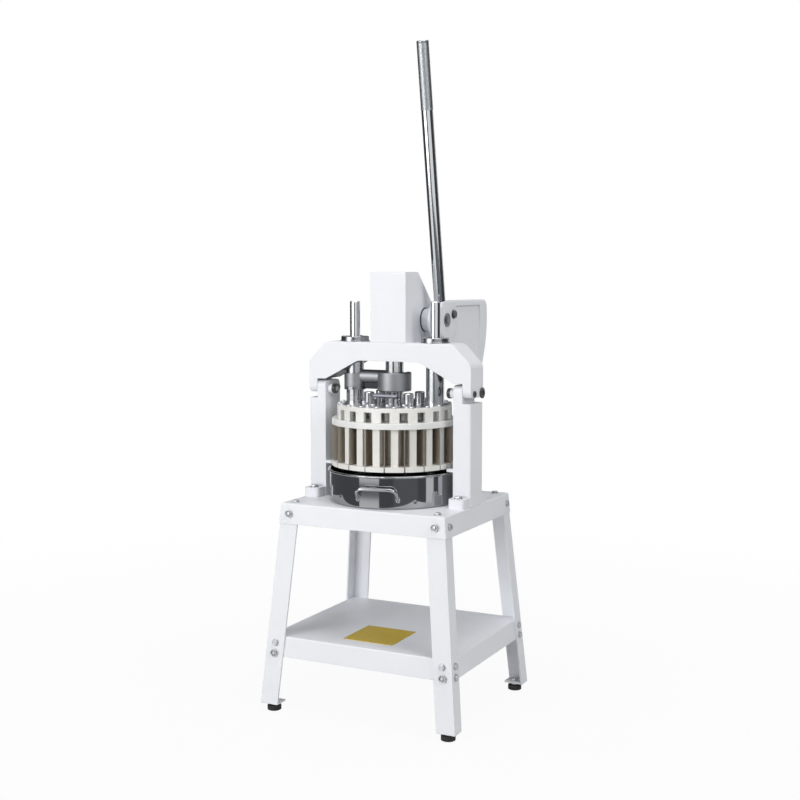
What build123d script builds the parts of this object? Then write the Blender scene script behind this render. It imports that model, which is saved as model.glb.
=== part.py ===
from build123d import *
from math import acos, ceil, cos, hypot, pi, radians, sin, sqrt, tan
import os

# Manual dough divider on a splayed steel stand. Millimetres, +Z up, +X to the operator's right
# and -Y towards the operator. The origin is on the floor under the middle of the table.
# A hand lever turns a toothed sector, the sector drives a rack, and the rack pushes a head of
# press segments and knives down into a round dough pan. The whole bridge tips back for cleaning.

# Stand: folded table top and shelf on four splayed angle legs
TABLE_HEIGHT = 494.0
TOP_WIDTH = 422.0
TOP_DEPTH = 372.0
SHEET = 2.5
FOLD_RADIUS = 3.0
APRON_DROP = 48.0
LEG_SPLAY_X = 5.2
LEG_SPLAY_Y = 4.2
LEG_FLANGE_X = 46.0
LEG_FLANGE_Y = 36.0
LEG_WALL = 4.0
SHELF_HEIGHT = 181.0
SHELF_DROP = 48.0
CORNER_PLATE = 4.0
FOOT_DIAMETER = 33.0
FOOT_PAD = 12.0
FOOT_CHAMFER = 3.0
FOOT_STUD = 10.0
JAM_NUT = 6.0

# Fasteners: shank diameter, width across flats, head height
STAND_BOLT = 8.0
STAND_BOLT_FLATS = 13.0
STAND_BOLT_HEAD = 5.3
STAND_NUT = 6.5
BOLT_TAIL = 2.0
APRON_BOLT_DROP = 24.0
SHELF_BOLT_DROP = 28.0
SHELF_BOLT_PITCH = 24.5
COLUMN_BOLT = 10.0
COLUMN_BOLT_FLATS = 16.0
COLUMN_BOLT_HEAD = 6.4
HEAD_BOLT = 6.0
HEAD_BOLT_FLATS = 10.0
HEAD_BOLT_HEIGHT = 4.0
HEAD_BOLT_GRIP = 14.0
HOLE_CLEARANCE = 0.2

# Fits and running clearances
SEAT_FIT = 0.05
RUNNING_FIT = 0.05
SIDE_PLAY = 0.5

# Columns: the press axis stands a little in front of the table's middle
PRESS_Y = -15.0
PAN_SIDE_GAP = 10.0
COLUMN_WIDTH = 44.0
COLUMN_DEPTH = 70.0
COLUMN_ROUND = 5.0
SHOULDER_DROP = 22.0
TONGUE_WIDTH = 22.5
TONGUE_RISE = 20.0
LUG_LENGTH = 34.0
LUG_WIDTH = 40.0
LUG_HEIGHT = 22.0
LUG_ROUND = 8.0
KEEPER_REACH = 16.0
KEEPER_WIDTH = 18.0
KEEPER_HEIGHT = 7.0
KEEPER_GAP = 3.0

# Tilting bridge and its pivots: the arch clears the locking arm, the pivots lie below the arch
ARCH_CLEARANCE = 27.0
ARCH_SLOPE = 88.0
ARCH_ROUND = 30.0
ARCH_FOOT_GAP = 4.0
BRIDGE_CROWN = 44.0
BRIDGE_SHOULDER_DROP = 48.0
BRIDGE_SHOULDER_INSET = 46.0
BRIDGE_ROUND = 24.0
BRIDGE_EDGE = 3.0
CHEEK_DROP = 9.0
CHEEK_ROUND = 14.0
PIVOT_DROP = 70.0
HINGE_BACK = 26.0
HINGE_PIN = 16.0
HINGE_HEAD = 25.0
HINGE_HEAD_HEIGHT = 6.0
HINGE_CHAMFER = 1.5
HINGE_TAIL = 3.0
CLAMP_FORWARD = 16.5
CLAMP_STUD = 9.0
CLAMP_HEAD = 15.0
CLAMP_HEAD_HEIGHT = 5.0
CLAMP_NOTCH = 12.4
CLAMP_BOSS = 22.0
CLAMP_BOSS_LENGTH = 12.0
KNOB_DIAMETER = 24.0
KNOB_LENGTH = 9.0
KNOB_ROUND = 2.5
KNOB_GROOVE = 3.0
KNOB_GROOVES = 12

# Dough pan
PAN_RADIUS = 152.0
PAN_WALL = 2.0
PAN_FLOOR = 3.0
PAN_HEIGHT = 76.0
PAN_CORNER = 4.0
RIM_WIDTH = 4.0
RIM_HEIGHT = 5.0
HANDLE_ROD = 8.0
HANDLE_LENGTH = 94.0
HANDLE_STAND_OFF = 15.0
HANDLE_TOP = 48.0
HANDLE_FOOT = 24.0
HANDLE_BEND = 14.0
HANDLE_ANGLE = 12.0

# Dividing head: rings of press segments with knives between them
HEAD_SIDE_GAP = 3.7
HEAD_GAP = 8.0
FLOOR_GAP = 3.0
PLATE_THICK = 11.5
POST_LENGTH = 86.0
CARRIER_THICK = 13.5
CARRIER_EDGE = 2.0
OUTER_COUNT = 20
MIDDLE_COUNT = 12
INNER_COUNT = 4
KNIFE = 1.5
KNIFE_GAP = 0.75
KNIFE_BEVEL = 4.0
KNIFE_EDGE = 0.4
KNIFE_SEAT = 4.0
OUTER_POST_INSET = 17.6
OUTER_POST_WIDTH = 17.0
OUTER_POST_DEPTH = 10.0
MIDDLE_POST = 16.0
INNER_POST_INSET = 16.4
INNER_POST = 14.0
POST_CLEARANCE = 0.5
RING_INSET = 12.6
RING_WALL = 10.0
RING_GAP = 0.3
RING_HEIGHT = 32.7
RING_LEDGE = 10.0
WINDOW_WIDTH = 20.0
WINDOW_HEIGHT = 23.0
PRESS_PLATE = 6.0
PRESS_PLATE_INSET = 13.7
LIFT_STUD = 7.0
LIFT_STUD_SPREAD = 36.0
LIFT_STUD_FORWARD = 47.0
LIFT_BAR = 10.0
LIFT_BAR_LENGTH = 64.0
LIFT_BAR_RISE = 21.0
LIFT_ROUND = 2.5
PRESS_GUIDE = 24.0
PRESS_GUIDE_RADIUS = 60.0
PRESS_GUIDE_ANGLES = (-150.0, -30.0, 30.0, 150.0)
PRESS_RISE = 24.0

# Guides of the head
GUIDE_INSET = 22.85
GUIDE_ROD = 24.0
GUIDE_ROD_RISE = 95.5
ROD_CHAMFER = 2.0
SLEEVE = 42.0
SLEEVE_CLEARANCE = 1.0
BUSH_BODY = 34.0
BUSH_LENGTH = 43.0
BUSH_FLANGE = 66.0
BUSH_FLANGE_THICK = 12.0
BUSH_WASHER = 3.0
BUSH_BOLT_CIRCLE = 50.0
BUSH_BOLT_COUNT = 3
BORE_CLEARANCE = 2.0
STOP_GAP = 0.5

# Locking arm on the left guide
ARM_HUB = 52.0
ARM_HUB_DROP = 5.0
ARM_BAR = 32.0
ARM_BAR_RISE = 4.0
ARM_FORK = 80.0
ARM_FORK_HEIGHT = 44.0
ARM_FORK_BEVEL = 12.0
ARM_BORE_CLEARANCE = 0.3
ARM_CLEARANCE = 2.0
ARM_COLLAR = 7.0

# Rack, toothed sector and their housing
RACK = 42.0
RACK_RISE = 103.0
RACK_SPIGOT = 30.0
RACK_PITCH_LINE = 15.0
RACK_SPARE_TEETH = 3
RACK_GUIDE_WIDTH = 28.0
RACK_GUIDE_HEIGHT = 42.0
RACK_GUIDE_WRAP = 10.5
GEAR_MODULE = 3.5
GEAR_TEETH = 32
PRESSURE_ANGLE = 20.0
BACKLASH = 0.25
SECTOR_WIDTH = 30.0
SECTOR_TEETH = 10
SECTOR_LEAD = 1.5
SECTOR_HUB = 56.0
SHAFT = 28.0
SHAFT_RISE = 51.0
HOUSING_HALF_WIDTH = 46.0
HOUSING_WALL = 7.0
HOUSING_SETBACK = 1.5
HOUSING_HEADROOM = 10.0
HOUSING_TOP_DEPTH = 65.0
HOUSING_BACK = 50.0
HOUSING_SLOPE = 43.5
HOUSING_SUMP = 7.5
HOUSING_CHIN = 22.0
HOUSING_ROUND = 4.0
BOSS = 54.0
BOSS_RIGHT = 22.0
BOSS_LEFT = 14.0
RIB_INSET = 18.0
SHAFT_BUSH = 36.0
SHAFT_BUSH_FLANGE = 50.0
SHAFT_BUSH_LIP = 3.5
SHAFT_COLLAR = 42.0
SHAFT_COLLAR_WIDTH = 10.0
COVER_SIDE = 10.0
COVER_END = 6.0
COVER_THICK = 4.0
COVER_LAND = 10.0

# Lever with its counterweight
ARM_WIDTH = 31.0
ARM_HUB_RADIUS = 46.0
WEIGHT_RADIUS = 245.0
WEIGHT_DROP_ANGLE = 32.0
WEIGHT_ROUND = 20.0
WEIGHT_EDGE = 4.0
WEIGHT_BORDER = 14.0
WEIGHT_RIM = 46.0
WEB_RECESS = 4.0
WEB_ROUND = 4.0
HUB_LAND = 12.0
LEVER_BAR = 27.0
LEVER_SPIGOT = 22.0
LEVER_LENGTH = 637.0
LEVER_SEAT = 20.0
LEVER_LEAN = 9.3
GRIP = 28.0
GRIP_LENGTH = 154.0
GRIP_CAP = 3.0
CLAMP_BOLT = 10.0
CLAMP_BOLT_FLATS = 17.0
CLAMP_BOLT_REACH = 37.0
CLAMP_BOLT_RISE = 13.0
END_WASHER = 33.0
END_WASHER_THICK = 2.0
END_SCREW_HEAD = 3.5

# Places and heights that follow from the values above
CORNERS = [(-1, -1), (1, -1), (-1, 1), (1, 1)]
SIDES = [("left", -1), ("right", 1)]
SCREW_HOLE = HEAD_BOLT + 2 * SEAT_FIT
HALF_DEPTH = COLUMN_DEPTH / 2
LUG_BOLT_Y = HALF_DEPTH + LUG_LENGTH / 2
PAN_OUTER = PAN_RADIUS + PAN_WALL
PAN_RIM = PAN_OUTER + RIM_WIDTH
COLUMN_INNER = PAN_RIM + PAN_SIDE_GAP
COLUMN_OUTER = COLUMN_INNER + COLUMN_WIDTH
COLUMN_X = COLUMN_INNER + COLUMN_WIDTH / 2
TONGUE_OUTER = COLUMN_INNER + TONGUE_WIDTH
CHEEK_INNER = TONGUE_OUTER + SIDE_PLAY

# Plan of the dividing head: each of the segments has the same area
FRONT = -90.0
HEAD_RADIUS = PAN_RADIUS - HEAD_SIDE_GAP
PIECES = OUTER_COUNT + MIDDLE_COUNT + INNER_COUNT
OUTER_KNIFE_RADIUS = HEAD_RADIUS * sqrt((MIDDLE_COUNT + INNER_COUNT) / PIECES)
INNER_KNIFE_RADIUS = HEAD_RADIUS * sqrt(INNER_COUNT / PIECES)
OUTER_FIRST = FRONT + 180 / OUTER_COUNT
MIDDLE_FIRST = FRONT + 180 / MIDDLE_COUNT
INNER_FIRST = FRONT + 180 / INNER_COUNT
OUTER_POST_RADIUS = HEAD_RADIUS - OUTER_POST_INSET
MIDDLE_POST_RADIUS = (INNER_KNIFE_RADIUS + OUTER_KNIFE_RADIUS) / 2
INNER_POST_RADIUS = INNER_KNIFE_RADIUS - INNER_POST_INSET
BLADE_END = KNIFE / 2 + SEAT_FIT
BLADE_SPANS = [
    ("outer_blades", OUTER_KNIFE_RADIUS + BLADE_END, HEAD_RADIUS - KNIFE_GAP, OUTER_COUNT),
    ("middle_blades", INNER_KNIFE_RADIUS + BLADE_END, OUTER_KNIFE_RADIUS - BLADE_END, MIDDLE_COUNT),
    ("inner_blades", KNIFE / 2, INNER_KNIFE_RADIUS - BLADE_END, INNER_COUNT),
]
RING_BLADES = [("outer_knife_ring", OUTER_KNIFE_RADIUS), ("inner_knife_ring", INNER_KNIFE_RADIUS)]
PLATE_EDGE = KNIFE / 2 + KNIFE_GAP
RING_RADIUS = HEAD_RADIUS - RING_INSET
PRESS_PLATE_RADIUS = RING_RADIUS - PRESS_PLATE_INSET
LEDGE_RADIUS = PRESS_PLATE_RADIUS - RING_LEDGE
RING_BOLT_RADIUS = (PRESS_PLATE_RADIUS + RING_RADIUS) / 2
GUIDE_X = RING_BOLT_RADIUS - GUIDE_INSET
PRESS_GUIDE_SPOTS = [
    (PRESS_GUIDE_RADIUS * cos(radians(angle)), PRESS_GUIDE_RADIUS * sin(radians(angle)))
    for angle in PRESS_GUIDE_ANGLES
]

# Heights of the dividing head, the arm over it and the bridge, counted up from the table top
PLATE_BOTTOM = PAN_HEIGHT + HEAD_GAP
PLATE_TOP = PLATE_BOTTOM + PLATE_THICK
CARRIER_BOTTOM = PLATE_TOP + POST_LENGTH
CARRIER_TOP = CARRIER_BOTTOM + CARRIER_THICK
KNIFE_TOP = CARRIER_BOTTOM + KNIFE_SEAT
SOCKET_FLOOR = KNIFE_TOP + SIDE_PLAY
RING_BOTTOM = CARRIER_TOP + RING_GAP
RING_TOP = RING_BOTTOM + RING_HEIGHT
PRESS_PLATE_BOTTOM = RING_TOP - PRESS_PLATE
STROKE = PLATE_BOTTOM - PAN_FLOOR - FLOOR_GAP
ARM_FORK_BOTTOM = RING_TOP + HEAD_BOLT_HEIGHT + PRESS_RISE + ARM_CLEARANCE
ARM_FORK_TOP = ARM_FORK_BOTTOM + ARM_FORK_HEIGHT
STUD_TOP = ARM_FORK_BOTTOM - ARM_CLEARANCE
ARCH_TOP = ARM_FORK_TOP + ARCH_CLEARANCE
BRIDGE_TOP = ARCH_TOP + BRIDGE_CROWN
PIVOT_HEIGHT = ARCH_TOP - PIVOT_DROP
CHEEK_BOTTOM = PIVOT_HEIGHT - CHEEK_DROP
COLUMN_SHOULDER = PIVOT_HEIGHT - SHOULDER_DROP
TONGUE_TOP = PIVOT_HEIGHT + TONGUE_RISE
SLEEVE_TOP = BRIDGE_TOP - BUSH_LENGTH - STOP_GAP
GUIDE_ROD_TOP = BRIDGE_TOP + GUIDE_ROD_RISE

# Rack drive and its housing, built up from the bridge
GEAR_RADIUS = GEAR_MODULE * GEAR_TEETH / 2
GEAR_PITCH = pi * GEAR_MODULE
ADDENDUM = GEAR_MODULE
DEDENDUM = 1.25 * GEAR_MODULE
SECTOR_TIP = GEAR_RADIUS + ADDENDUM
SHAFT_Y = RACK_PITCH_LINE + GEAR_RADIUS
SHAFT_HEIGHT = BRIDGE_TOP + SHAFT_RISE
RACK_TOP = SHAFT_HEIGHT + RACK_RISE
HOUSING_FRONT = HOUSING_SETBACK - HALF_DEPTH
HOUSING_REAR = SHAFT_Y + HOUSING_BACK
HOUSING_TOP = RACK_TOP + HOUSING_HEADROOM
HOUSING_BOTTOM = SHAFT_HEIGHT - SECTOR_TIP - HOUSING_SUMP - HOUSING_WALL
HOUSING_TOP_REAR = HOUSING_FRONT + HOUSING_TOP_DEPTH
HOUSING_REAR_TOP = HOUSING_TOP - (HOUSING_REAR - HOUSING_TOP_REAR) * tan(radians(HOUSING_SLOPE))
HOUSING_REAR_BOTTOM = HOUSING_BOTTOM + HOUSING_CHIN
BOSS_END = HOUSING_HALF_WIDTH + BOSS_RIGHT
BOSS_START = -HOUSING_HALF_WIDTH - BOSS_LEFT
ARM_X = BOSS_END + SHAFT_BUSH_LIP + SIDE_PLAY
ARM_FACE = ARM_X + ARM_WIDTH
PRESS_AXIS = Location((0, PRESS_Y, TABLE_HEIGHT))
SHAFT_AXIS = Location((0, SHAFT_Y, SHAFT_HEIGHT))


def save(name, shapes, place=Location()):
    """Write the solids of one named piece, or of one group of like pieces, to its file."""
    solids = [solid.moved(place) for shape in shapes for solid in shape.solids()]
    export_step(solids[0] if len(solids) == 1 else Compound(solids), f"parts/{name}.step")


def save_on_press(name, *shapes):
    """Write pieces that are drawn about the press axis, with the table top as their zero height."""
    save(name, shapes, PRESS_AXIS)


def upright(x, y, z_low, z_high, diameter):
    """A cylinder along Z."""
    middle = (z_low + z_high) / 2
    return Pos(x, y, middle) * Cylinder(diameter / 2, z_high - z_low)


def crosswise(x_low, x_high, y, z, diameter):
    """A cylinder along X."""
    return Pos((x_low + x_high) / 2, y, z) * Rot(0, 90, 0) * Cylinder(diameter / 2, x_high - x_low)


def block(x_range, y_range, z_range):
    """A box between three pairs of limits."""
    ranges = (x_range, y_range, z_range)
    middle = [(low + high) / 2 for low, high in ranges]
    return Pos(*middle) * Box(*[high - low for low, high in ranges])


def profile(points, radii):
    """A closed face with a rounded corner at each point."""
    return make_face(FilletPolyline(points, radius=radii, close=True))


def around(shape, count, first=0.0):
    """Copies of a shape, turned in equal steps about Z."""
    return [Rot(0, 0, first + 360 * index / count) * shape for index in range(count)]


def together(shapes):
    """One shape that holds all the given ones, to cut with."""
    return Part() + shapes


def hexagon(flats, z_low, z_high):
    """A hexagonal prism along Z."""
    outline = RegularPolygon(flats / 2, 6, major_radius=False)
    return Pos(0, 0, z_low) * extrude(outline, z_high - z_low)


def hex_bolt(shank, flats, head, length):
    """A bolt along -Z with its head standing on the plane z = 0."""
    return hexagon(flats, 0, head) + upright(0, 0, -length, 0, shank)


def head_bolt(length):
    """One of the small bolts of the head, the bushes and the housing."""
    return hex_bolt(HEAD_BOLT, HEAD_BOLT_FLATS, HEAD_BOLT_HEIGHT, length)


def nutted_bolt(shank, flats, head, grip, nut):
    """A bolt along -Z that clamps a given thickness with its nut."""
    bolt = hex_bolt(shank, flats, head, grip + nut + BOLT_TAIL)
    return bolt + hexagon(flats, -grip - nut, -grip)


def leg_face_x(z):
    """Half the width across the outer faces of the legs at a height."""
    return TOP_WIDTH / 2 - SHEET + (TABLE_HEIGHT - z) * tan(radians(LEG_SPLAY_X))


def leg_face_y(z):
    """Half the depth across the outer faces of the legs at a height."""
    return TOP_DEPTH / 2 - SHEET + (TABLE_HEIGHT - z) * tan(radians(LEG_SPLAY_Y))


def splayed_block(z_low, z_high, inset):
    """A block whose sides lie a fixed distance inside the outer faces of the legs."""
    ends = []
    for z in (z_low, z_high):
        width = 2 * (leg_face_x(z) - inset)
        depth = 2 * (leg_face_y(z) - inset)
        ends.append(Pos(0, 0, z) * Rectangle(width, depth))
    return loft(ends, ruled=True)


def splayed_tray(top, drop, inset):
    """A sheet folded down along its four sides, which lean out with the legs."""
    outside = splayed_block(top - drop, top, inset)
    folds = outside.edges().filter_by(lambda edge: edge.center().Z > top - drop + SHEET)
    outside = fillet(folds, FOLD_RADIUS)
    return outside - splayed_block(top - drop - SHEET, top - SHEET, inset + SHEET)


def splayed_prism(side_x, side_y, points, z_high, z_low):
    """A prism that leans with one leg. Points are counted inwards from the leg's outer corner."""
    corner_x = leg_face_x(z_high)
    corner_y = leg_face_y(z_high)
    outline = [(side_x * (corner_x - dx), side_y * (corner_y - dy), z_high) for dx, dy in points]
    drop = z_high - z_low
    lean = (
        side_x * drop * tan(radians(LEG_SPLAY_X)),
        side_y * drop * tan(radians(LEG_SPLAY_Y)),
        -drop,
    )
    return Solid.extrude(Face(Wire(Polyline(outline, close=True).edges())), Vector(*lean))


def corner_plate(side_x, side_y, z_high):
    """A small plate that lies inside one leg's angle."""
    low = (LEG_WALL, LEG_WALL)
    high = (LEG_FLANGE_X, LEG_FLANGE_Y)
    points = [low, (high[0], low[1]), high, (low[0], high[1])]
    return splayed_prism(side_x, side_y, points, z_high, z_high - CORNER_PLATE)


def corner_plate_centre(side_x, side_y, z):
    """The middle of a corner plate at a height."""
    x = leg_face_x(z) - (LEG_WALL + LEG_FLANGE_X) / 2
    y = leg_face_y(z) - (LEG_WALL + LEG_FLANGE_Y) / 2
    return side_x * x, side_y * y


def leg_bolt_planes(side_x, side_y, z, outset):
    """Bolt seats on the two outer faces of one leg, or on a sheet that lies over them."""
    x = side_x * (leg_face_x(z) - LEG_FLANGE_X / 2)
    y = side_y * (leg_face_y(z) - LEG_FLANGE_Y / 2)
    on_front = (x, side_y * (leg_face_y(z) + outset), z)
    on_side = (side_x * (leg_face_x(z) + outset), y, z)
    return [
        Plane(origin=on_front, z_dir=(0, side_y, tan(radians(LEG_SPLAY_Y)))),
        Plane(origin=on_side, z_dir=(side_x, 0, tan(radians(LEG_SPLAY_X)))),
    ]


def apron_bolt_planes(side_x, side_y):
    return leg_bolt_planes(side_x, side_y, TABLE_HEIGHT - APRON_BOLT_DROP, SHEET)


def shelf_bolt_planes(side_x, side_y):
    middle = SHELF_HEIGHT - SHELF_BOLT_DROP
    heights = (middle + SHELF_BOLT_PITCH / 2, middle - SHELF_BOLT_PITCH / 2)
    return [plane for z in heights for plane in leg_bolt_planes(side_x, side_y, z, 0)]


def seated(planes, shape):
    """Copies of a shape standing on a list of planes."""
    return [plane.location * shape for plane in planes]


def build_stand():
    """Table top, legs, shelf, feet and the bolts that hold them."""
    grip = SHEET + LEG_WALL
    hole = Cylinder(STAND_BOLT / 2 + HOLE_CLEARANCE, 4 * grip)
    apron_planes = [plane for corner in CORNERS for plane in apron_bolt_planes(*corner)]
    shelf_planes = [plane for corner in CORNERS for plane in shelf_bolt_planes(*corner)]
    leg_top = TABLE_HEIGHT - SHEET
    leg_bottom = FOOT_PAD + JAM_NUT
    top_spots = [corner_plate_centre(*corner, leg_top) for corner in CORNERS]
    foot_spots = [corner_plate_centre(*corner, leg_bottom + CORNER_PLATE) for corner in CORNERS]
    column_spots = [(side * COLUMN_X, PRESS_Y + end * LUG_BOLT_Y) for side, end in CORNERS]

    top = splayed_tray(TABLE_HEIGHT, APRON_DROP, -SHEET) - together(seated(apron_planes, hole))
    for x, y in top_spots:
        top -= upright(x, y, leg_top - SHEET, TABLE_HEIGHT + SHEET, STAND_BOLT + 2 * HOLE_CLEARANCE)
    for x, y in column_spots:
        top -= upright(x, y, leg_top - SHEET, TABLE_HEIGHT + SHEET, COLUMN_BOLT + 2 * HOLE_CLEARANCE)
    save("stand_top", [top])

    shelf = splayed_tray(SHELF_HEIGHT, SHELF_DROP, LEG_WALL) - together(seated(shelf_planes, hole))
    save("lower_shelf", [shelf])

    angle = [
        (0, 0), (LEG_FLANGE_X, 0), (LEG_FLANGE_X, LEG_WALL),
        (LEG_WALL, LEG_WALL), (LEG_WALL, LEG_FLANGE_Y), (0, LEG_FLANGE_Y),
    ]
    plate_top = leg_bottom + CORNER_PLATE
    stud_top = plate_top + JAM_NUT + BOLT_TAIL
    for (side_x, side_y), top_spot, foot_spot in zip(CORNERS, top_spots, foot_spots):
        planes = apron_bolt_planes(side_x, side_y) + shelf_bolt_planes(side_x, side_y)
        leg = Part() + splayed_prism(side_x, side_y, angle, leg_top, leg_bottom)
        leg += corner_plate(side_x, side_y, leg_top)
        leg += corner_plate(side_x, side_y, plate_top)
        leg -= together(seated(planes, hole))
        leg -= upright(
            *top_spot, leg_top - 2 * CORNER_PLATE, TABLE_HEIGHT, STAND_BOLT + 2 * HOLE_CLEARANCE)
        leg -= upright(*foot_spot, FOOT_PAD, stud_top, FOOT_STUD + 2 * HOLE_CLEARANCE)
        end = "front" if side_y < 0 else "rear"
        side = "left" if side_x < 0 else "right"
        save(f"leg_{end}_{side}", [leg])

    bolt = nutted_bolt(STAND_BOLT, STAND_BOLT_FLATS, STAND_BOLT_HEAD, grip, STAND_NUT)
    save("stand_bolts", seated(apron_planes + shelf_planes, bolt))
    top_bolt = nutted_bolt(
        STAND_BOLT, STAND_BOLT_FLATS, STAND_BOLT_HEAD, SHEET + CORNER_PLATE, STAND_NUT)
    save("table_top_bolts", [Pos(x, y, TABLE_HEIGHT) * top_bolt for x, y in top_spots])

    column_bolt = nutted_bolt(
        COLUMN_BOLT, COLUMN_BOLT_FLATS, COLUMN_BOLT_HEAD, LUG_HEIGHT + SHEET, COLUMN_BOLT_HEAD)
    save("column_bolts", [Pos(x, y, TABLE_HEIGHT + LUG_HEIGHT) * column_bolt for x, y in column_spots])

    pads = []
    studs = []
    nuts = hexagon(COLUMN_BOLT_FLATS, FOOT_PAD, leg_bottom)
    nuts += hexagon(COLUMN_BOLT_FLATS, plate_top, plate_top + JAM_NUT)
    for x, y in foot_spots:
        pad = upright(x, y, 0, FOOT_PAD, FOOT_DIAMETER)
        pads.append(chamfer(pad.edges().group_by(Axis.Z)[-1], FOOT_CHAMFER))
        studs.append(upright(x, y, FOOT_PAD, stud_top, FOOT_STUD) + Pos(x, y, 0) * nuts)
    save("feet", pads)
    save("foot_studs", studs)


def build_column(name, side):
    """One casting: shaft with foot lugs, a tongue for the pivots and a keeper over the pan's rim."""
    outline = Rectangle(COLUMN_WIDTH, COLUMN_DEPTH)
    shaft = Pos(COLUMN_X, 0, 0) * extrude(outline, TONGUE_TOP)
    shaft -= block(
        (TONGUE_OUTER, COLUMN_OUTER + SHEET), (-COLUMN_DEPTH, COLUMN_DEPTH),
        (COLUMN_SHOULDER, TONGUE_TOP + SHEET))
    crown = shaft.edges().filter_by(Axis.X).group_by(Axis.Z)[-1]
    shaft = fillet(crown, CHEEK_ROUND)
    outer_edges = shaft.edges().filter_by(Axis.Z).group_by(Axis.X)[-1]
    shaft = fillet(outer_edges, COLUMN_ROUND)
    lugs = Rectangle(LUG_WIDTH, COLUMN_DEPTH + 2 * LUG_LENGTH)
    lugs = fillet(lugs.vertices(), LUG_ROUND)
    shaft += Pos(COLUMN_X, 0, 0) * extrude(lugs, LUG_HEIGHT)
    keeper_low = PAN_HEIGHT + KEEPER_GAP
    shaft += block(
        (COLUMN_INNER - KEEPER_REACH, COLUMN_INNER),
        (-HALF_DEPTH, KEEPER_WIDTH - HALF_DEPTH), (keeper_low, keeper_low + KEEPER_HEIGHT))
    shaft += crosswise(
        COLUMN_INNER - CLAMP_BOSS_LENGTH, COLUMN_INNER, -CLAMP_FORWARD, PIVOT_HEIGHT, CLAMP_BOSS)
    for end in (-1, 1):
        shaft -= upright(
            COLUMN_X, end * LUG_BOLT_Y, -SHEET, LUG_HEIGHT + SHEET, COLUMN_BOLT + 2 * HOLE_CLEARANCE)
    through = (COLUMN_INNER - 2 * CLAMP_BOSS_LENGTH, COLUMN_OUTER)
    shaft -= crosswise(*through, HINGE_BACK, PIVOT_HEIGHT, HINGE_PIN + 2 * SEAT_FIT)
    shaft -= crosswise(*through, -CLAMP_FORWARD, PIVOT_HEIGHT, CLAMP_STUD + 2 * SEAT_FIT)
    if side < 0:
        shaft = mirror(shaft, Plane.YZ)
    save_on_press(name, shaft)


def build_pivots():
    """Hinge pins, clamp studs and the clamp knobs of both columns."""
    pins = []
    studs = []
    head_seat = COLUMN_OUTER + SIDE_PLAY
    knob_end = COLUMN_INNER - CLAMP_BOSS_LENGTH
    for name, side in SIDES:
        pin = crosswise(COLUMN_INNER - HINGE_TAIL, head_seat, HINGE_BACK, PIVOT_HEIGHT, HINGE_PIN)
        head = crosswise(head_seat, head_seat + HINGE_HEAD_HEIGHT, HINGE_BACK, PIVOT_HEIGHT, HINGE_HEAD)
        pin += chamfer(head.edges().group_by(Axis.X)[-1], HINGE_CHAMFER)
        stud = crosswise(knob_end - KNOB_LENGTH, head_seat, -CLAMP_FORWARD, PIVOT_HEIGHT, CLAMP_STUD)
        stud += crosswise(
            head_seat, head_seat + CLAMP_HEAD_HEIGHT, -CLAMP_FORWARD, PIVOT_HEIGHT, CLAMP_HEAD)
        knob = crosswise(
            knob_end - KNOB_LENGTH, knob_end - RING_GAP, -CLAMP_FORWARD, PIVOT_HEIGHT, KNOB_DIAMETER)
        knob = fillet(knob.edges().group_by(Axis.X)[0], KNOB_ROUND)
        grooves = [
            Location((0, -CLAMP_FORWARD, PIVOT_HEIGHT), (360 * index / KNOB_GROOVES, 0, 0))
            * crosswise(knob_end - 2 * KNOB_LENGTH, knob_end, KNOB_DIAMETER / 2, 0, KNOB_GROOVE)
            for index in range(KNOB_GROOVES)
        ]
        knob -= together(grooves)
        knob -= crosswise(
            knob_end - 2 * KNOB_LENGTH, knob_end, -CLAMP_FORWARD, PIVOT_HEIGHT,
            CLAMP_STUD + 2 * RUNNING_FIT)
        if side < 0:
            pin, stud, knob = [mirror(piece, Plane.YZ) for piece in (pin, stud, knob)]
        pins.append(pin)
        studs.append(stud)
        save_on_press(f"clamp_knob_{name}", knob)
    save_on_press("hinge_pins", *pins)
    save_on_press("clamp_studs", *studs)


def housing_screw_spots():
    """Screws that hold the rack housing down on the bridge."""
    x = HOUSING_HALF_WIDTH - 2 * HOUSING_WALL
    front = HOUSING_FRONT + 2 * HOUSING_WALL
    return [(side * x, y) for side in (-1, 1) for y in (front, -front)]


def bush_screw_spots(x):
    """Screws that hold one guide bush's flange."""
    radius = BUSH_BOLT_CIRCLE / 2
    angles = [90 + 360 * index / BUSH_BOLT_COUNT for index in range(BUSH_BOLT_COUNT)]
    return [(x + radius * cos(radians(a)), radius * sin(radians(a))) for a in angles]


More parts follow.
